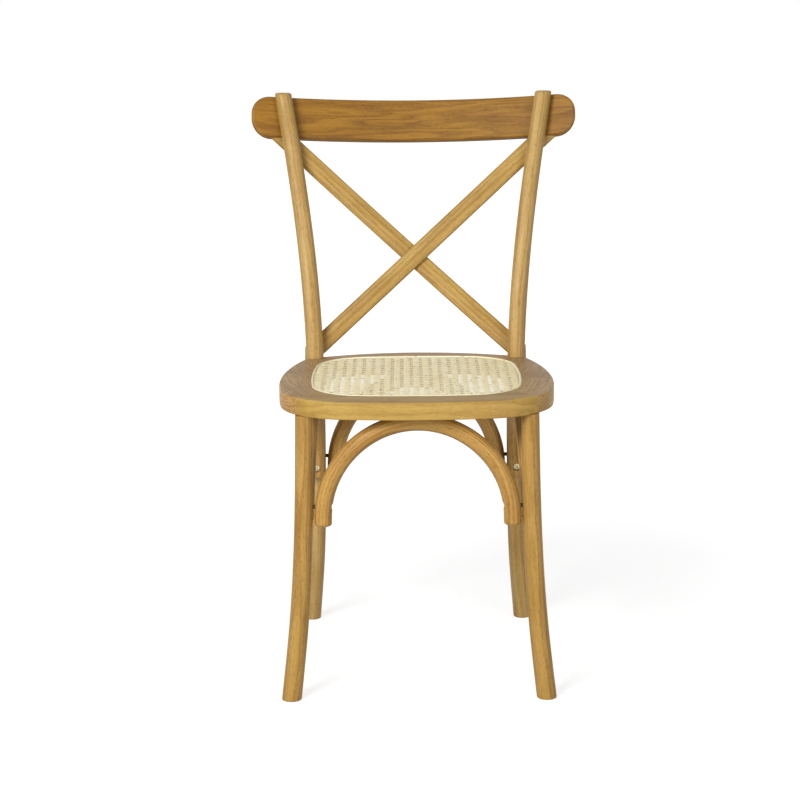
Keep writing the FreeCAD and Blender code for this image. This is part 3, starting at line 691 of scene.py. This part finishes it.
def pair_height(phase):
    """Over and under each strand that it crosses, which come in pairs."""
    def height(steps):
        place = steps / PITCH
        row = np.round(place)
        off = (place - row) * PITCH
        near = np.clip(off / (PAIR / 2), -1, 1)
        far = np.clip((np.abs(off) - PAIR / 2) / (PITCH - PAIR), 0, 1) * np.sign(off)
        return WEAVE * phase * (near - 2 * far)
    return height


strands = []
for i in range(-PAIRS_EACH_SIDE, PAIRS_EACH_SIDE + 1):
    for s in (-1, 1):
        place = i * PITCH + s * PAIR / 2
        strands.append(strand_line(cane_middle + (place, 0), np.array([0, 1.0]), pair_height(s)))
        strands.append(strand_line(cane_middle + (0, place), np.array([1.0, 0]), pair_height(-s)))
diagonal = math.sqrt(0.5)
for i in range(-2 * PAIRS_EACH_SIDE, 2 * PAIRS_EACH_SIDE + 1):
    place = (i + 0.5) * PITCH
    for s in (-1, 1):
        wave = lambda steps, s=s: -s * DIAGONAL_WEAVE * np.cos(2 * math.pi * steps * diagonal / PITCH)
        strands.append(strand_line(cane_middle + (0, place), np.array([diagonal, s * diagonal]), wave))
strands = [strand_rings(line) for line in strands if line is not None]

points, faces, grain, start = [], [], [], 0
shuffle = np.random.default_rng(11)
for rings in strands:
    faces += [tuple(start + i for i in face) for face in skin(rings)]
    points.append(rings.reshape(-1, 3))
    run = np.concatenate([[0], np.cumsum(np.linalg.norm(np.diff(rings[:, 0], axis=0), axis=1))])
    place = shuffle.uniform(0, STOCK_SPAN, 2)
    sides = np.tile([a * REAL_WIDTH for a, u in STRAND_SECTION], len(run))
    grain.append(np.column_stack([sides + place[0], np.full(len(sides), place[1]),
                                  np.repeat(run, rings.shape[1])]))
    start += len(points[-1])
cane = new_piece("cane_weave", np.concatenate(points), faces)
layer = cane.data.attributes.new("grain", "FLOAT_VECTOR", "POINT")
layer.data.foreach_set("vector", np.concatenate(grain).ravel())


def rattan(name, pale, deep, mark, gloss):
    """Rattan: pale straw with its own satin skin, fine lines along it, slow changes of tone from
    strand to strand and a brown mark here and there where a leaf grew."""
    material, tree = new_material(name)
    drift = add(tree, "MapRange", {0: figure(tree, 40.0, 90.0), 1: 0.35, 2: 0.65})
    tone = add(tree, "Mix", {0: drift, 6: colour(pale), 7: colour(deep)}, 2, data_type="RGBA")
    lines = add(tree, "MapRange", {0: figure(tree, 0.35, 30.0), 1: 0.42, 2: 0.72, 4: 0.5})
    tone = add(tree, "Mix", {0: lines, 6: tone, 7: colour(deep)}, 2, data_type="RGBA")
    marks = add(tree, "MapRange", {0: figure(tree, 5.0, 9.0), 1: 0.63, 2: 0.7, 4: 0.8})
    tone = add(tree, "Mix", {0: marks, 6: tone, 7: colour(mark)}, 2, data_type="RGBA")
    rough = add(tree, "MapRange", {0: lines, 2: 0.5, 3: gloss, 4: gloss + 0.15})
    dents = add(tree, "Bump", {"Strength": 0.3, "Distance": 0.1 * MM, "Height": lines})
    return surfaced(material, {"Base Color": tone, "Roughness": rough, "Normal": dents, "IOR": 1.5})


# The cane is left unstained, so it stays the palest thing on the chair.
finish(cane, rattan("split_rattan", "#FFFADC", "#F5E4AE", "#A0854C", 0.42), "cane", "cane_webbing")


# Reed
# A round reed, soaked and driven into the groove over the cane's edge. It stands a little proud,
# and its two ends butt together at the middle of the back.

REED_WIDTH = 3.4
REED_PROUD = 0.8
REED_ROUND = 1.2
REED_CLEAR = 0.05       # on each side of it in the groove
REED_DOWN = 6.5         # from the seat's top to the reed's underside
REED_JOINT = 0.12
REED_ROUND_STEPS = 5
REED_SKIP = 6           # it takes each sixth point of the groove's line


def reed_rings():
    """The reed's sections, from one side of its joint round to the other."""
    bottom = SEAT_TOP - REED_DOWN
    top = SEAT_TOP + REED_PROUD
    turns = np.linspace(0, math.pi / 2, REED_ROUND_STEPS)
    outer = [(REED_CLEAR + REED_ROUND * (1 - math.cos(t)), top - REED_ROUND * (1 - math.sin(t)))
             for t in turns]
    inner = [(2 * REED_CLEAR + REED_WIDTH - inset, z) for inset, z in outer[::-1]]
    profile = [(REED_CLEAR, bottom)] + outer + inner + [(REED_CLEAR + REED_WIDTH, bottom)]
    rings = []
    for inset, z in profile:
        line = cane_edge.points(inset)
        half = len(line) // 2
        line = np.roll(line, -half, axis=0)[::REED_SKIP]
        line = line[np.abs(line[:, 0]) >= REED_JOINT / 2]
        rings.append(np.column_stack([line, np.full(len(line), z)]))
    return np.stack(rings, axis=1)


reed_shape = reed_rings()
reed = new_piece("cane_reed", reed_shape, skin(reed_shape))
reed_line = reed_shape.mean(axis=1)
reed_heading = unit(np.gradient(reed_line, axis=0))
lay_grain(reed, reed_line, np.cross(UP, reed_heading), UP, (5, 900, 0))
finish(reed, rattan("rattan_reed", "#FFF9DC", "#F6EABE", "#D2BE88", 0.45), "cane_reed", "cane_spline")


# Hoops
# Four round rods of elm, steamed and bent to arches. Each is planed flat where it lies under the
# seat, and its ends are screwed to the legs and posts.

ROD_RADIUS = 13.0
HOOP_END_Z = 268.0
HOOP_FLAT = 1.5
HOOP_LIMB = 15.5
HOOP_LIMB_LEAN = math.radians(1.5)
HOOP_CROWN_ANGLE = math.radians(28.0)
HOOP_END_ROUND = 4.0
SIDE_BOLT_UP = 17.0     # from a side hoop's end to its bolt
SIDE_HOOP_LEAN = 7.0    # how far inboard its crown is
CROSS_HOOP_GAP = 2.5    # between the ends of the front and rear hoops and the legs or posts
HOOP_BOLT = dict(head=6.3, height=3.6, shank=3.0, length=42.0)
CROWN_SCREW = dict(head=4.2, height=2.6, shank=2.2, length=34.0)
LIMB_PITCH = 3.0
SHOULDER_STEPS = 30
CROWN_STEPS = 26


def hoop_line(start, end, crown_shift):
    """The middle of a hoop and its plane: straight limbs, two tight shoulders and a wide crown."""
    rise = UP * (SEAT_UNDER + HOOP_FLAT - ROD_RADIUS - HOOP_END_Z) + crown_shift
    height = np.linalg.norm(rise)
    half = np.linalg.norm(end - start) / 2
    lean, spread = HOOP_LIMB_LEAN, HOOP_CROWN_ANGLE
    wide = half - HOOP_LIMB * math.sin(lean)
    tall = height - HOOP_LIMB * math.cos(lean)
    shoulder, crown = np.linalg.solve([[math.cos(lean) - math.sin(spread), math.sin(spread)],
                                       [math.cos(spread) - math.sin(lean), 1 - math.cos(spread)]],
                                      [wide, tall])
    down_limb, _ = rounded_steps(0, HOOP_LIMB, HOOP_END_ROUND, 0, LIMB_PITCH)
    limb = np.column_stack([half - down_limb * math.sin(lean), down_limb * math.cos(lean)])
    turns = np.linspace(lean, math.pi / 2 - spread, SHOULDER_STEPS)[1:, None]
    bend_middle = limb[-1] - shoulder * np.array([math.cos(lean), math.sin(lean)])
    bend = bend_middle + shoulder * np.column_stack([np.cos(turns), np.sin(turns)])
    turns = np.linspace(math.pi / 2 - spread, math.pi / 2, CROWN_STEPS)[1:, None]
    top = np.array([0, height - crown]) + crown * np.column_stack([np.cos(turns), np.sin(turns)])
    right = np.concatenate([limb, bend, top])
    flat = np.concatenate([right * (-1, 1), right[-2::-1]])
    along, rise = unit(end - start), unit(rise)
    return (start + end) / 2 + flat[:, :1] * along + flat[:, 1:] * rise, np.cross(along, rise)


def hoop_rings(middle, normal):
    """Rings round a hoop, with rounded ends and the crown planed off at the seat."""
    heading = np.gradient(middle, axis=0)
    heading[:3] = middle[3] - middle[0]
    heading[-3:] = middle[-1] - middle[-4]
    inward = np.cross(unit(heading), normal)
    turns = np.linspace(0, 2 * math.pi, ROD_SIDES, endpoint=False)
    _, insets = rounded_steps(0, HOOP_LIMB, HOOP_END_ROUND, 0, LIMB_PITCH)
    radius = np.full(len(middle), ROD_RADIUS)
    radius[:len(insets)] -= insets
    radius[-len(insets):] -= insets[::-1]
    ring = np.cos(turns)[None, :, None] * normal + np.sin(turns)[None, :, None] * inward[:, None, :]
    rings = middle[:, None, :] + ring * radius[:, None, None]
    rings[:, :, 2] = np.minimum(rings[:, :, 2], SEAT_UNDER)
    return rings, inward


def cross_ends(line):
    """The ends of a hoop that joins a leg or post to the other one of its pair."""
    beside = line.at(HOOP_END_Z)[0]
    reach = beside[0] - line.radius(HOOP_END_Z) - ROD_RADIUS - CROSS_HOOP_GAP
    end = np.array([reach, beside[1], HOOP_END_Z])
    return end * (-1, 1, 1), end


def side_ends():
    """The ends of the right side's hoop, fitted where its bolts are."""
    bolt_z = HOOP_END_Z + SIDE_BOLT_UP
    leg, post = leg_line.at(bolt_z)[0], post_line.at(bolt_z)[0]
    way = unit(post - leg)
    drop = UP * SIDE_BOLT_UP
    return (leg + way * (leg_line.radius(bolt_z) + ROD_RADIUS + TOUCH) - drop,
            post - way * (post_line.radius(bolt_z) + ROD_RADIUS + TOUCH) - drop)


# The hoops took the stain a little redder than the posts did.
russet_elm = lacquered_elm("russet_lacquered_elm", "#C69B50", "#9A6D2E", "#5A3914", layer=6.0)
hoop_bolt_heads = recesses("hoop_end_screws", HOOP_BOLT)
crown_screw_heads = recesses("hoop_crown_screws", CROWN_SCREW)
no_shift = np.zeros(3)
side_start, side_end = side_ends()
hoops = [("front", *cross_ends(leg_line), no_shift), ("rear", *cross_ends(post_line), no_shift),
         ("right", side_start, side_end, RIGHT * -SIDE_HOOP_LEAN),
         ("left", side_start * (-1, 1, 1), side_end * (-1, 1, 1), RIGHT * SIDE_HOOP_LEAN)]
for number, (name, start, end, shift) in enumerate(hoops):
    middle, normal = hoop_line(start, end, shift)
    rings, inward = hoop_rings(middle, normal)
    hoop = new_piece("hoop_rod_" + name, rings, skin(rings))
    cut(hoop, hoop_bolt_heads, crown_screw_heads, *post_rooms)
    lay_grain(hoop, middle, normal, inward, (60 * number, 35, 7000 + 900 * number))
    finish(hoop, russet_elm, "frame_wood", "hoop_" + name)


# Top rail
# One board of elm, bent to a single curve behind the posts and leaning back with them. Its corners
# and edges are rounded, and each post sits in a shallow notch in its front.

BACK_LEAN = math.radians(19.3)
RAIL_MID_Z = 847.0
RAIL_HALF_LENGTH = 265.5
RAIL_HEIGHT = 69.0
RAIL_THICK = 19.0
RAIL_RADIUS = 950.0
RAIL_CORNER = 30.0
RAIL_ROUND = 4.5
RAIL_LET_IN = 2.5       # how deep each post sits in its notch
RAIL_SCREW = dict(head=4.2, height=2.6, shank=2.2, length=32.0)
RAIL_CORNER_STEPS = 12
RAIL_STEPS = 60         # from a corner to the middle
RAIL_ROWS = 13
RAIL_EDGE_PITCH = 4.0
RAIL_TURN = 0.3         # radians from the rail's middle to past its end

rail_up = np.array([0, math.sin(BACK_LEAN), math.cos(BACK_LEAN)])
rail_back = np.array([0, math.cos(BACK_LEAN), -math.sin(BACK_LEAN)])
post_at_rail = post_line.at(RAIL_MID_Z)[0]
rail_middle = post_at_rail * (0, 1, 1)
post_distance = RAIL_RADIUS - post_line.radius(RAIL_MID_Z) + RAIL_LET_IN
bend_centre = rail_middle - rail_back * math.sqrt(post_distance ** 2 - post_at_rail[0] ** 2)


def rail_face():
    """The flat middle of a face, inside its rounded edge: columns of points along the rail."""
    half_long = RAIL_HALF_LENGTH - RAIL_ROUND
    half_high = RAIL_HEIGHT / 2 - RAIL_ROUND
    corner = RAIL_CORNER - RAIL_ROUND
    turns = np.linspace(0, math.pi / 2, RAIL_CORNER_STEPS)[:-1]
    ends = half_long - corner + corner * np.cos(turns)
    heights = half_high - corner + corner * np.sin(turns)
    straight = np.linspace(half_long - corner, 0, RAIL_STEPS)
    x = np.concatenate([ends, straight])
    high = np.concatenate([heights, np.full(len(straight), half_high)])
    x = np.concatenate([x, -x[-2::-1]])
    high = np.concatenate([high, high[-2::-1]])
    rows = np.linspace(1, -1, RAIL_ROWS)
    return np.stack([np.repeat(x[:, None], len(rows), 1), high[:, None] * rows[None]], axis=2)


def bent(flat, depth):
    """Points of the flat board, and how deep each is from its front, on the bent board."""
    out = np.sqrt((RAIL_RADIUS + depth) ** 2 - flat[:, 0] ** 2)
    return bend_centre + flat[:, :1] * RIGHT + flat[:, 1:] * rail_up + out[:, None] * rail_back


def rail_piece():
    """Both bent faces, and loops of points round the edge from one to the other."""
    face = rail_face()
    columns, rows = face.shape[:2]
    index = np.arange(columns * rows).reshape(columns, rows)
    border = np.concatenate([index[:, 0], index[-1, 1:], index[-2::-1, -1], index[0, -2:0:-1]])
    flat = face.reshape(-1, 2)
    core = np.array([RAIL_HALF_LENGTH - RAIL_CORNER, RAIL_HEIGHT / 2 - RAIL_CORNER])
    outward = unit(flat[border] - np.clip(flat[border], -core, core))
    quads = np.stack([index[:-1, :-1], index[1:, :-1], index[1:, 1:], index[:-1, 1:]], axis=2)
    quads = quads.reshape(-1, 4)
    points = [bent(flat, 0), bent(flat, RAIL_THICK)]
    faces = quads.tolist() + (quads + len(flat)).tolist()
    depths, insets = rounded_steps(0, RAIL_THICK, RAIL_ROUND, RAIL_ROUND, RAIL_EDGE_PITCH)
    loops = [border]
    for depth, inset in list(zip(depths, insets))[1:-1]:
        loops.append(np.arange(len(border)) + sum(len(part) for part in points))
        points.append(bent(flat[border] + outward * (RAIL_ROUND - inset), depth))
    loops.append(border + len(flat))
    for near, far in zip(loops[:-1], loops[1:]):
        faces += np.stack([near, np.roll(near, -1), np.roll(far, -1), far], axis=1).tolist()
    return new_piece("back_rail", np.concatenate(points), faces)


# The rail is the darkest board. It is sawn flat from the log, so its layers show as long arches.
chestnut_elm = lacquered_elm("chestnut_lacquered_elm", "#A07220", "#784E10", "#46290B", layer=8.0,
                             tilt=1.3, wander=2.6, depth=0.35, pores=0.4, sheen=0.58)
rail = rail_piece()
cut(rail, *post_rooms, recesses("rail_screws", RAIL_SCREW))
rail_turns = np.linspace(-RAIL_TURN, RAIL_TURN, 200)[:, None]
rail_outward = np.sin(rail_turns) * RIGHT + np.cos(rail_turns) * rail_back
rail_line = bend_centre + rail_outward * (RAIL_RADIUS + RAIL_THICK / 2)
lay_grain(rail, rail_line, rail_outward, np.broadcast_to(rail_up, rail_line.shape), (210, 55, 9300))
finish(rail, chestnut_elm, "rail_wood", "top_rail")


# Crossing slats
# Two flat strips of elm behind the posts, bowed back a little so that one passes behind the other.
# Their ends are screwed to the posts, and one screw joins them where they cross.

SLAT_LOW_Z = 477.5
SLAT_HIGH_Z = 802.5
SLAT_WIDTH = 29.5
SLAT_THICK = 9.0
SLAT_BOW = 3.0
SLAT_APART = 9.3        # from one slat to the other where they cross
SLAT_ROUND = 3.4
SLAT_CROWN = 2.2        # how far the front falls away at its edges
SLAT_CROWN_STEPS = 13
SLAT_CORNER_STEPS = 5
SLAT_LET_IN = 1.5
SLAT_LOW_END_X = 180.0
SLAT_BELOW_SEAT = 5.0
SLAT_SPARE = 60.0       # trimmed off again at both ends
SLAT_STEPS = 150
BUTT = 0.3              # between the slats' ends and the rail
SLAT_SCREW = dict(head=3.8, height=2.2, shank=1.9, length=22.0)
CROSSING_SCREW = dict(head=3.8, height=2.2, shank=1.9, length=14.0)


def slat_section():
    """The outline of a slat's section, across and back, with rounded corners and a crowned front."""
    outline = []
    for quarter, (a, b) in enumerate(((1, 1), (-1, 1), (-1, -1), (1, -1))):
        for turn in np.linspace(0, math.pi / 2, SLAT_CORNER_STEPS) + quarter * math.pi / 2:
            outline.append((a * (SLAT_WIDTH / 2 - SLAT_ROUND) + SLAT_ROUND * math.cos(turn),
                            b * (SLAT_THICK / 2 - SLAT_ROUND) + SLAT_ROUND * math.sin(turn)))
        if (a, b) == (-1, -1):
            flat = SLAT_WIDTH / 2 - SLAT_ROUND
            outline += [(x, -SLAT_THICK / 2) for x in np.linspace(-flat, flat, SLAT_CROWN_STEPS)[1:-1]]
    outline = np.array(outline)
    front = outline[:, 1] < 0
    outline[front, 1] += SLAT_CROWN * (2 * outline[front, 0] / SLAT_WIDTH) ** 2
    return outline


def trim(piece, point, outward):
    """Cuts the piece flat and drops what lies outward of the point."""
    shell = bmesh.new()
    shell.from_mesh(piece.data)
    everything = shell.verts[:] + shell.edges[:] + shell.faces[:]
    done = bmesh.ops.bisect_plane(shell, geom=everything, dist=1e-7, plane_co=np.asarray(point) * MM,
                                  plane_no=outward, clear_outer=True)
    rim = [part for part in done["geom_cut"] if isinstance(part, bmesh.types.BMEdge)]
    bmesh.ops.edgenet_fill(shell, edges=rim)
    bmesh.ops.recalc_face_normals(shell, faces=shell.faces)
    shell.to_mesh(piece.data)
    shell.free()


def slat_piece(name, bow, side, cut_from):
    """A slat from low on one post to high on the other, bowed back and trimmed at seat and rail."""
    low = post_line.at(SLAT_LOW_Z)[0] * (-1, 1, 1)
    high = post_line.at(SLAT_HIGH_Z)[0]
    rise = high - low
    back = unit([0, rise[2], -rise[1]])
    low = low + back * (post_line.radius(SLAT_LOW_Z) - SLAT_LET_IN)
    high = high + back * (post_line.radius(SLAT_HIGH_Z) - SLAT_LET_IN)
    half_chord = np.linalg.norm(high - low) / 2
    chord = unit(high - low)
    radius = (half_chord ** 2 + bow ** 2) / (2 * bow)
    centre = (low + high) / 2 + back * (bow - radius)
    half_turn = math.asin((half_chord + SLAT_SPARE) / radius)
    turns = np.linspace(-half_turn, half_turn, SLAT_STEPS)[:, None]
    outward = back * np.cos(turns) + chord * np.sin(turns)
    along = chord * np.cos(turns) - back * np.sin(turns)
    middle = centre + outward * (radius + SLAT_THICK / 2)
    across = np.cross(along, outward)
    section = slat_section()[None]
    rings = middle[:, None] + across[:, None] * section[..., :1] + outward[:, None] * section[..., 1:]
    flip = np.array([side, 1, 1])
    slat = new_piece(name, rings * flip, skin(rings))
    trim(slat, (-SLAT_LOW_END_X * side, 0, 0), (-side, 0, 0))
    trim(slat, (0, 0, SEAT_TOP - SLAT_BELOW_SEAT), (0, 0, -1))
    trim(slat, rail_middle - rail_up * (RAIL_HEIGHT / 2 + BUTT), rail_up)
    cut(slat, *post_rooms, slat_screw_heads, crossing_head)
    lay_grain(slat, middle * flip, across * flip, outward * flip * side, cut_from)
    return slat


# The slats are the honey of the posts, a shade deeper, with the streaks of quarter-sawn wood.
amber_elm = lacquered_elm("amber_lacquered_elm", "#C19D53", "#96702C", "#624017", layer=4.0, wander=1.0)
slat_screw_heads = recesses("slat_end_screws", SLAT_SCREW)
crossing_head = recesses("slat_crossing_screw", CROSSING_SCREW)
front_slat = slat_piece("slat_front", SLAT_BOW, 1, (15, 90, 11000))
rear_slat = slat_piece("slat_rear", SLAT_BOW + SLAT_APART, -1, (85, 140, 12500))
finish(front_slat, amber_elm, "slat_wood", "cross_slat_front")
finish(rear_slat, amber_elm, "slat_wood", "cross_slat_rear")

for tool in list(bpy.data.objects):
    if tool.name.split(".")[0] in ("cutter", "mortise", "post_room"):
        bpy.data.objects.remove(tool)


# Dowels
# Eight pins of beech, turned with a bevel at both ends and glued across the seat's mitres, two to
# each. They are raw wood and lie inside the boards, where only a chair taken apart shows them.

def mottle(tree, patch, first, second, detail=2.0):
    """Two tones that change over patches of that many millimetres, and the share of the second."""
    place = add(tree, "NewGeometry", {}, "Position")
    share = add(tree, "TexNoise", {"Vector": place, "Scale": 1 / (patch * MM), "Detail": detail})
    tone = add(tree, "Mix", {0: share, 6: colour(first), 7: colour(second)}, 2, data_type="RGBA")
    return tone, share


def raw_beech():
    """Bare beech: pale pinkish tan and dull, with small darker rays."""
    material, tree = new_material("raw_beech")
    tone, _ = mottle(tree, 1.2, "#D2AE82", "#B08A5C")
    return surfaced(material, {"Base Color": tone, "Roughness": 0.75, "IOR": 1.5})


dowels = frame["nodes"]["seat_corner_dowels"].data
dowels.materials.clear()
dowels.materials.append(raw_beech())


# Screws
# Pan head screws and bolts of steel with a cross recess, plated with zinc that the lacquer has
# yellowed. Only their heads show and, where a hoop stands off its leg, a little of the shank, which is
# painted dark as the shade in that gap.

SCREW_SIDES = 32
RECESS_TURN = 0.4       # how far round the cross stands
RECESS_DEEP = 0.55      # of the head's height
RECESS_OVER = 0.6       # how far the cutter stands above the head


def zinc_plated_steel():
    """Zinc plate under an overspray of lacquer: grey metal gone straw yellow, faintly mottled, with a
    soft dull sheen."""
    material, tree = new_material("zinc_plated_steel")
    tone, share = mottle(tree, 0.9, "#D8CCA6", "#A3976F", 3.0)
    rough = add(tree, "MapRange", {0: share, 3: 0.4, 4: 0.6})
    return surfaced(material, {"Base Color": tone, "Metallic": 1.0, "Roughness": rough})


def shaded_shank_steel():
    """The shanks: painted shade, a dark metal that is uneven in tone and stands for the shadow in the
    gaps where they show.
    """
    material, tree = new_material("shaded_shank_steel")
    tone, _ = mottle(tree, 1.5, "#4A4238", "#2E2822")
    return surfaced(material, {"Base Color": tone, "Metallic": 1.0, "Roughness": 0.5})


def screw_steps(head, height, shank, length):
    """The radius of a domed head and its shank at each depth, from its top to its tip."""
    return [(0.5 * head, 0), (0.78 * head, 0.1 * height), (0.93 * head, 0.3 * height),
            (head, 0.6 * height), (head, height), (shank, height), (shank, height + length - shank),
            (0.3 * shank, height + length)]


def cross_bar(place, head, height, turn):
    """One of the two bars of a cross recess, tapered to its bottom."""
    top, way = place
    side, other = sides_of(way)
    long_way = (side * math.cos(turn) + other * math.sin(turn)) * head
    wide_way = np.cross(way, long_way)
    return np.array([[top + way * depth + long_way * long * a + wide_way * wide * b
                      for a, b in ((1, 1), (-1, 1), (-1, -1), (1, -1))]
                     for depth, long, wide in ((-RECESS_OVER, 0.62, 0.17),
                                               (RECESS_DEEP * height, 0.3, 0.1))])


def screws(name, node, size):
    """All the screws of one CAD node: zinc down to the head's underside, and painted shade on the shank
    below it.
    """
    places = screw_places(node)
    head, height = size["head"], size["height"]
    piece = gathered(name, [turned(place, screw_steps(**size), SCREW_SIDES) for place in places])
    bars = [gathered("bars", [cross_bar(place, head, height, turn) for place in places])
            for turn in (RECESS_TURN, RECESS_TURN + math.pi / 2)]
    cut(piece, *bars)
    for bar in bars:
        bpy.data.objects.remove(bar)
    finish(piece, zinc, "zinc_steel", node)
    # Faces below the head's underside get the dark material, which is painted shade for the gap where the
    # shank shows.
    piece.data.materials.append(shank_shade)
    tops = np.array([top for top, _ in places]) * MM
    for face in piece.data.polygons:
        off = np.array(face.center) - tops
        nearest = int(np.linalg.norm(off, axis=1).argmin())
        face.material_index = int(off[nearest] @ places[nearest][1] > (height + 0.01) * MM)


zinc = zinc_plated_steel()
shank_shade = shaded_shank_steel()
screws("bolts_hoop_ends", "hoop_end_screws", HOOP_BOLT)
screws("screws_hoop_crowns", "hoop_crown_screws", CROWN_SCREW)
screws("bolts_posts_to_seat", "post_seat_bolts", POST_BOLT)
screws("screws_rail", "rail_screws", RAIL_SCREW)
screws("screws_slat_ends", "slat_end_screws", SLAT_SCREW)
screws("screw_slat_crossing", "slat_crossing_screw", CROSSING_SCREW)


# Floor, light and camera
# A plain pale floor under a white sweep, lit by a large soft box high at the front left, a weaker
# one low at the front right, and an even white surround. The camera stands where the photograph's did.

FLOOR_HALF = 12.0
FLOOR_DROP = 0.0005     # under the feet
SURROUND_LIGHT = 0.22
LIGHTS_AIM = (0, 0, 0.5)
CAMERA_PLACE = (-0.0183, -3.2082, 1.0689)
CAMERA_LENS = 93.06
CAMERA_DIP = 0.20203    # radians below level
CAMERA_TURN = 0.0023
CAMERA_ROLL = -0.0092


def white_rays(tree):
    """One for a ray that shows the surround: to the camera, in gloss or metal, or through glass."""
    white = 0.0
    for kind in ("Is Camera Ray", "Is Glossy Ray", "Is Transmission Ray"):
        ray = add(tree, "LightPath", {}, kind)
        white = add(tree, "Math", {0: white, 1: ray}, operation="MAXIMUM")
    return white


def matt_white_floor():
    """Matt white paint. Where it is seen it is lifted to the white of the sweep, more so further off,
    and it keeps the chair's shadow."""
    material, tree = new_material("matt_white_floor")
    tone, _ = mottle(tree, 16.7, "#B2B2B2", "#AEAEAE")
    place = add(tree, "NewGeometry", {}, "Position")
    far = add(tree, "VectorMath", {0: place}, "Value", operation="LENGTH")
    white = add(tree, "MapRange", {0: far, 1: 0.5, 2: 2.0, 3: 0.78, 4: 1.0})
    lift = add(tree, "Math", {0: white_rays(tree), 1: white}, operation="MULTIPLY")
    return surfaced(material, {"Base Color": tone, "Roughness": 0.9, "Specular IOR Level": 0.1,
                               "Emission Color": (1, 1, 1, 1), "Emission Strength": lift})


floor = bpy.data.objects.new("floor", bpy.data.meshes.new("floor"))
floor.data.from_pydata([(x * FLOOR_HALF, y * FLOOR_HALF, -FLOOR_DROP)
                        for x, y in ((-1, -1), (1, -1), (1, 1), (-1, 1))], [], [(0, 1, 2, 3)])
bpy.context.scene.collection.objects.link(floor)
floor.data.materials.append(matt_white_floor())

world = bpy.data.worlds.new("surround")
bpy.context.scene.world = world
world.use_nodes = True
sky = world.node_tree
sky.nodes.clear()
strength = add(sky, "MapRange", {0: white_rays(sky), 3: SURROUND_LIGHT, 4: 1.0})
surround = add(sky, "Background", {"Color": (1, 1, 1, 1), "Strength": strength})
add(sky, "OutputWorld", {"Surface": surround})


def soft_box(name, place, size, power):
    """A large square lamp that faces the chair."""
    lamp = bpy.data.lights.new(name, "AREA")
    lamp.shape = "SQUARE"
    lamp.size = size
    lamp.energy = power
    holder = bpy.data.objects.new(name, lamp)
    bpy.context.scene.collection.objects.link(holder)
    holder.location = place
    holder.rotation_euler = (Vector(LIGHTS_AIM) - Vector(place)).to_track_quat("-Z", "Y").to_euler()


soft_box("key", place=(-1.8, -3.0, 2.3), size=1.6, power=134)
soft_box("fill", place=(1.8, -3.2, 0.8), size=1.2, power=38)

camera = bpy.data.cameras.new("camera")
camera.sensor_width = 36.0
camera.lens = CAMERA_LENS
holder = bpy.data.objects.new("camera", camera)
bpy.context.scene.collection.objects.link(holder)
turns = [Matrix.Rotation(turn, 4, axis) for turn, axis in
         ((CAMERA_TURN, "Z"), (math.pi / 2 - CAMERA_DIP, "X"), (CAMERA_ROLL, "Z"))]
holder.matrix_world = Matrix.Translation(CAMERA_PLACE) @ turns[0] @ turns[1] @ turns[2]
bpy.context.scene.camera = holder
bpy.context.scene.view_settings.view_transform = "Standard"
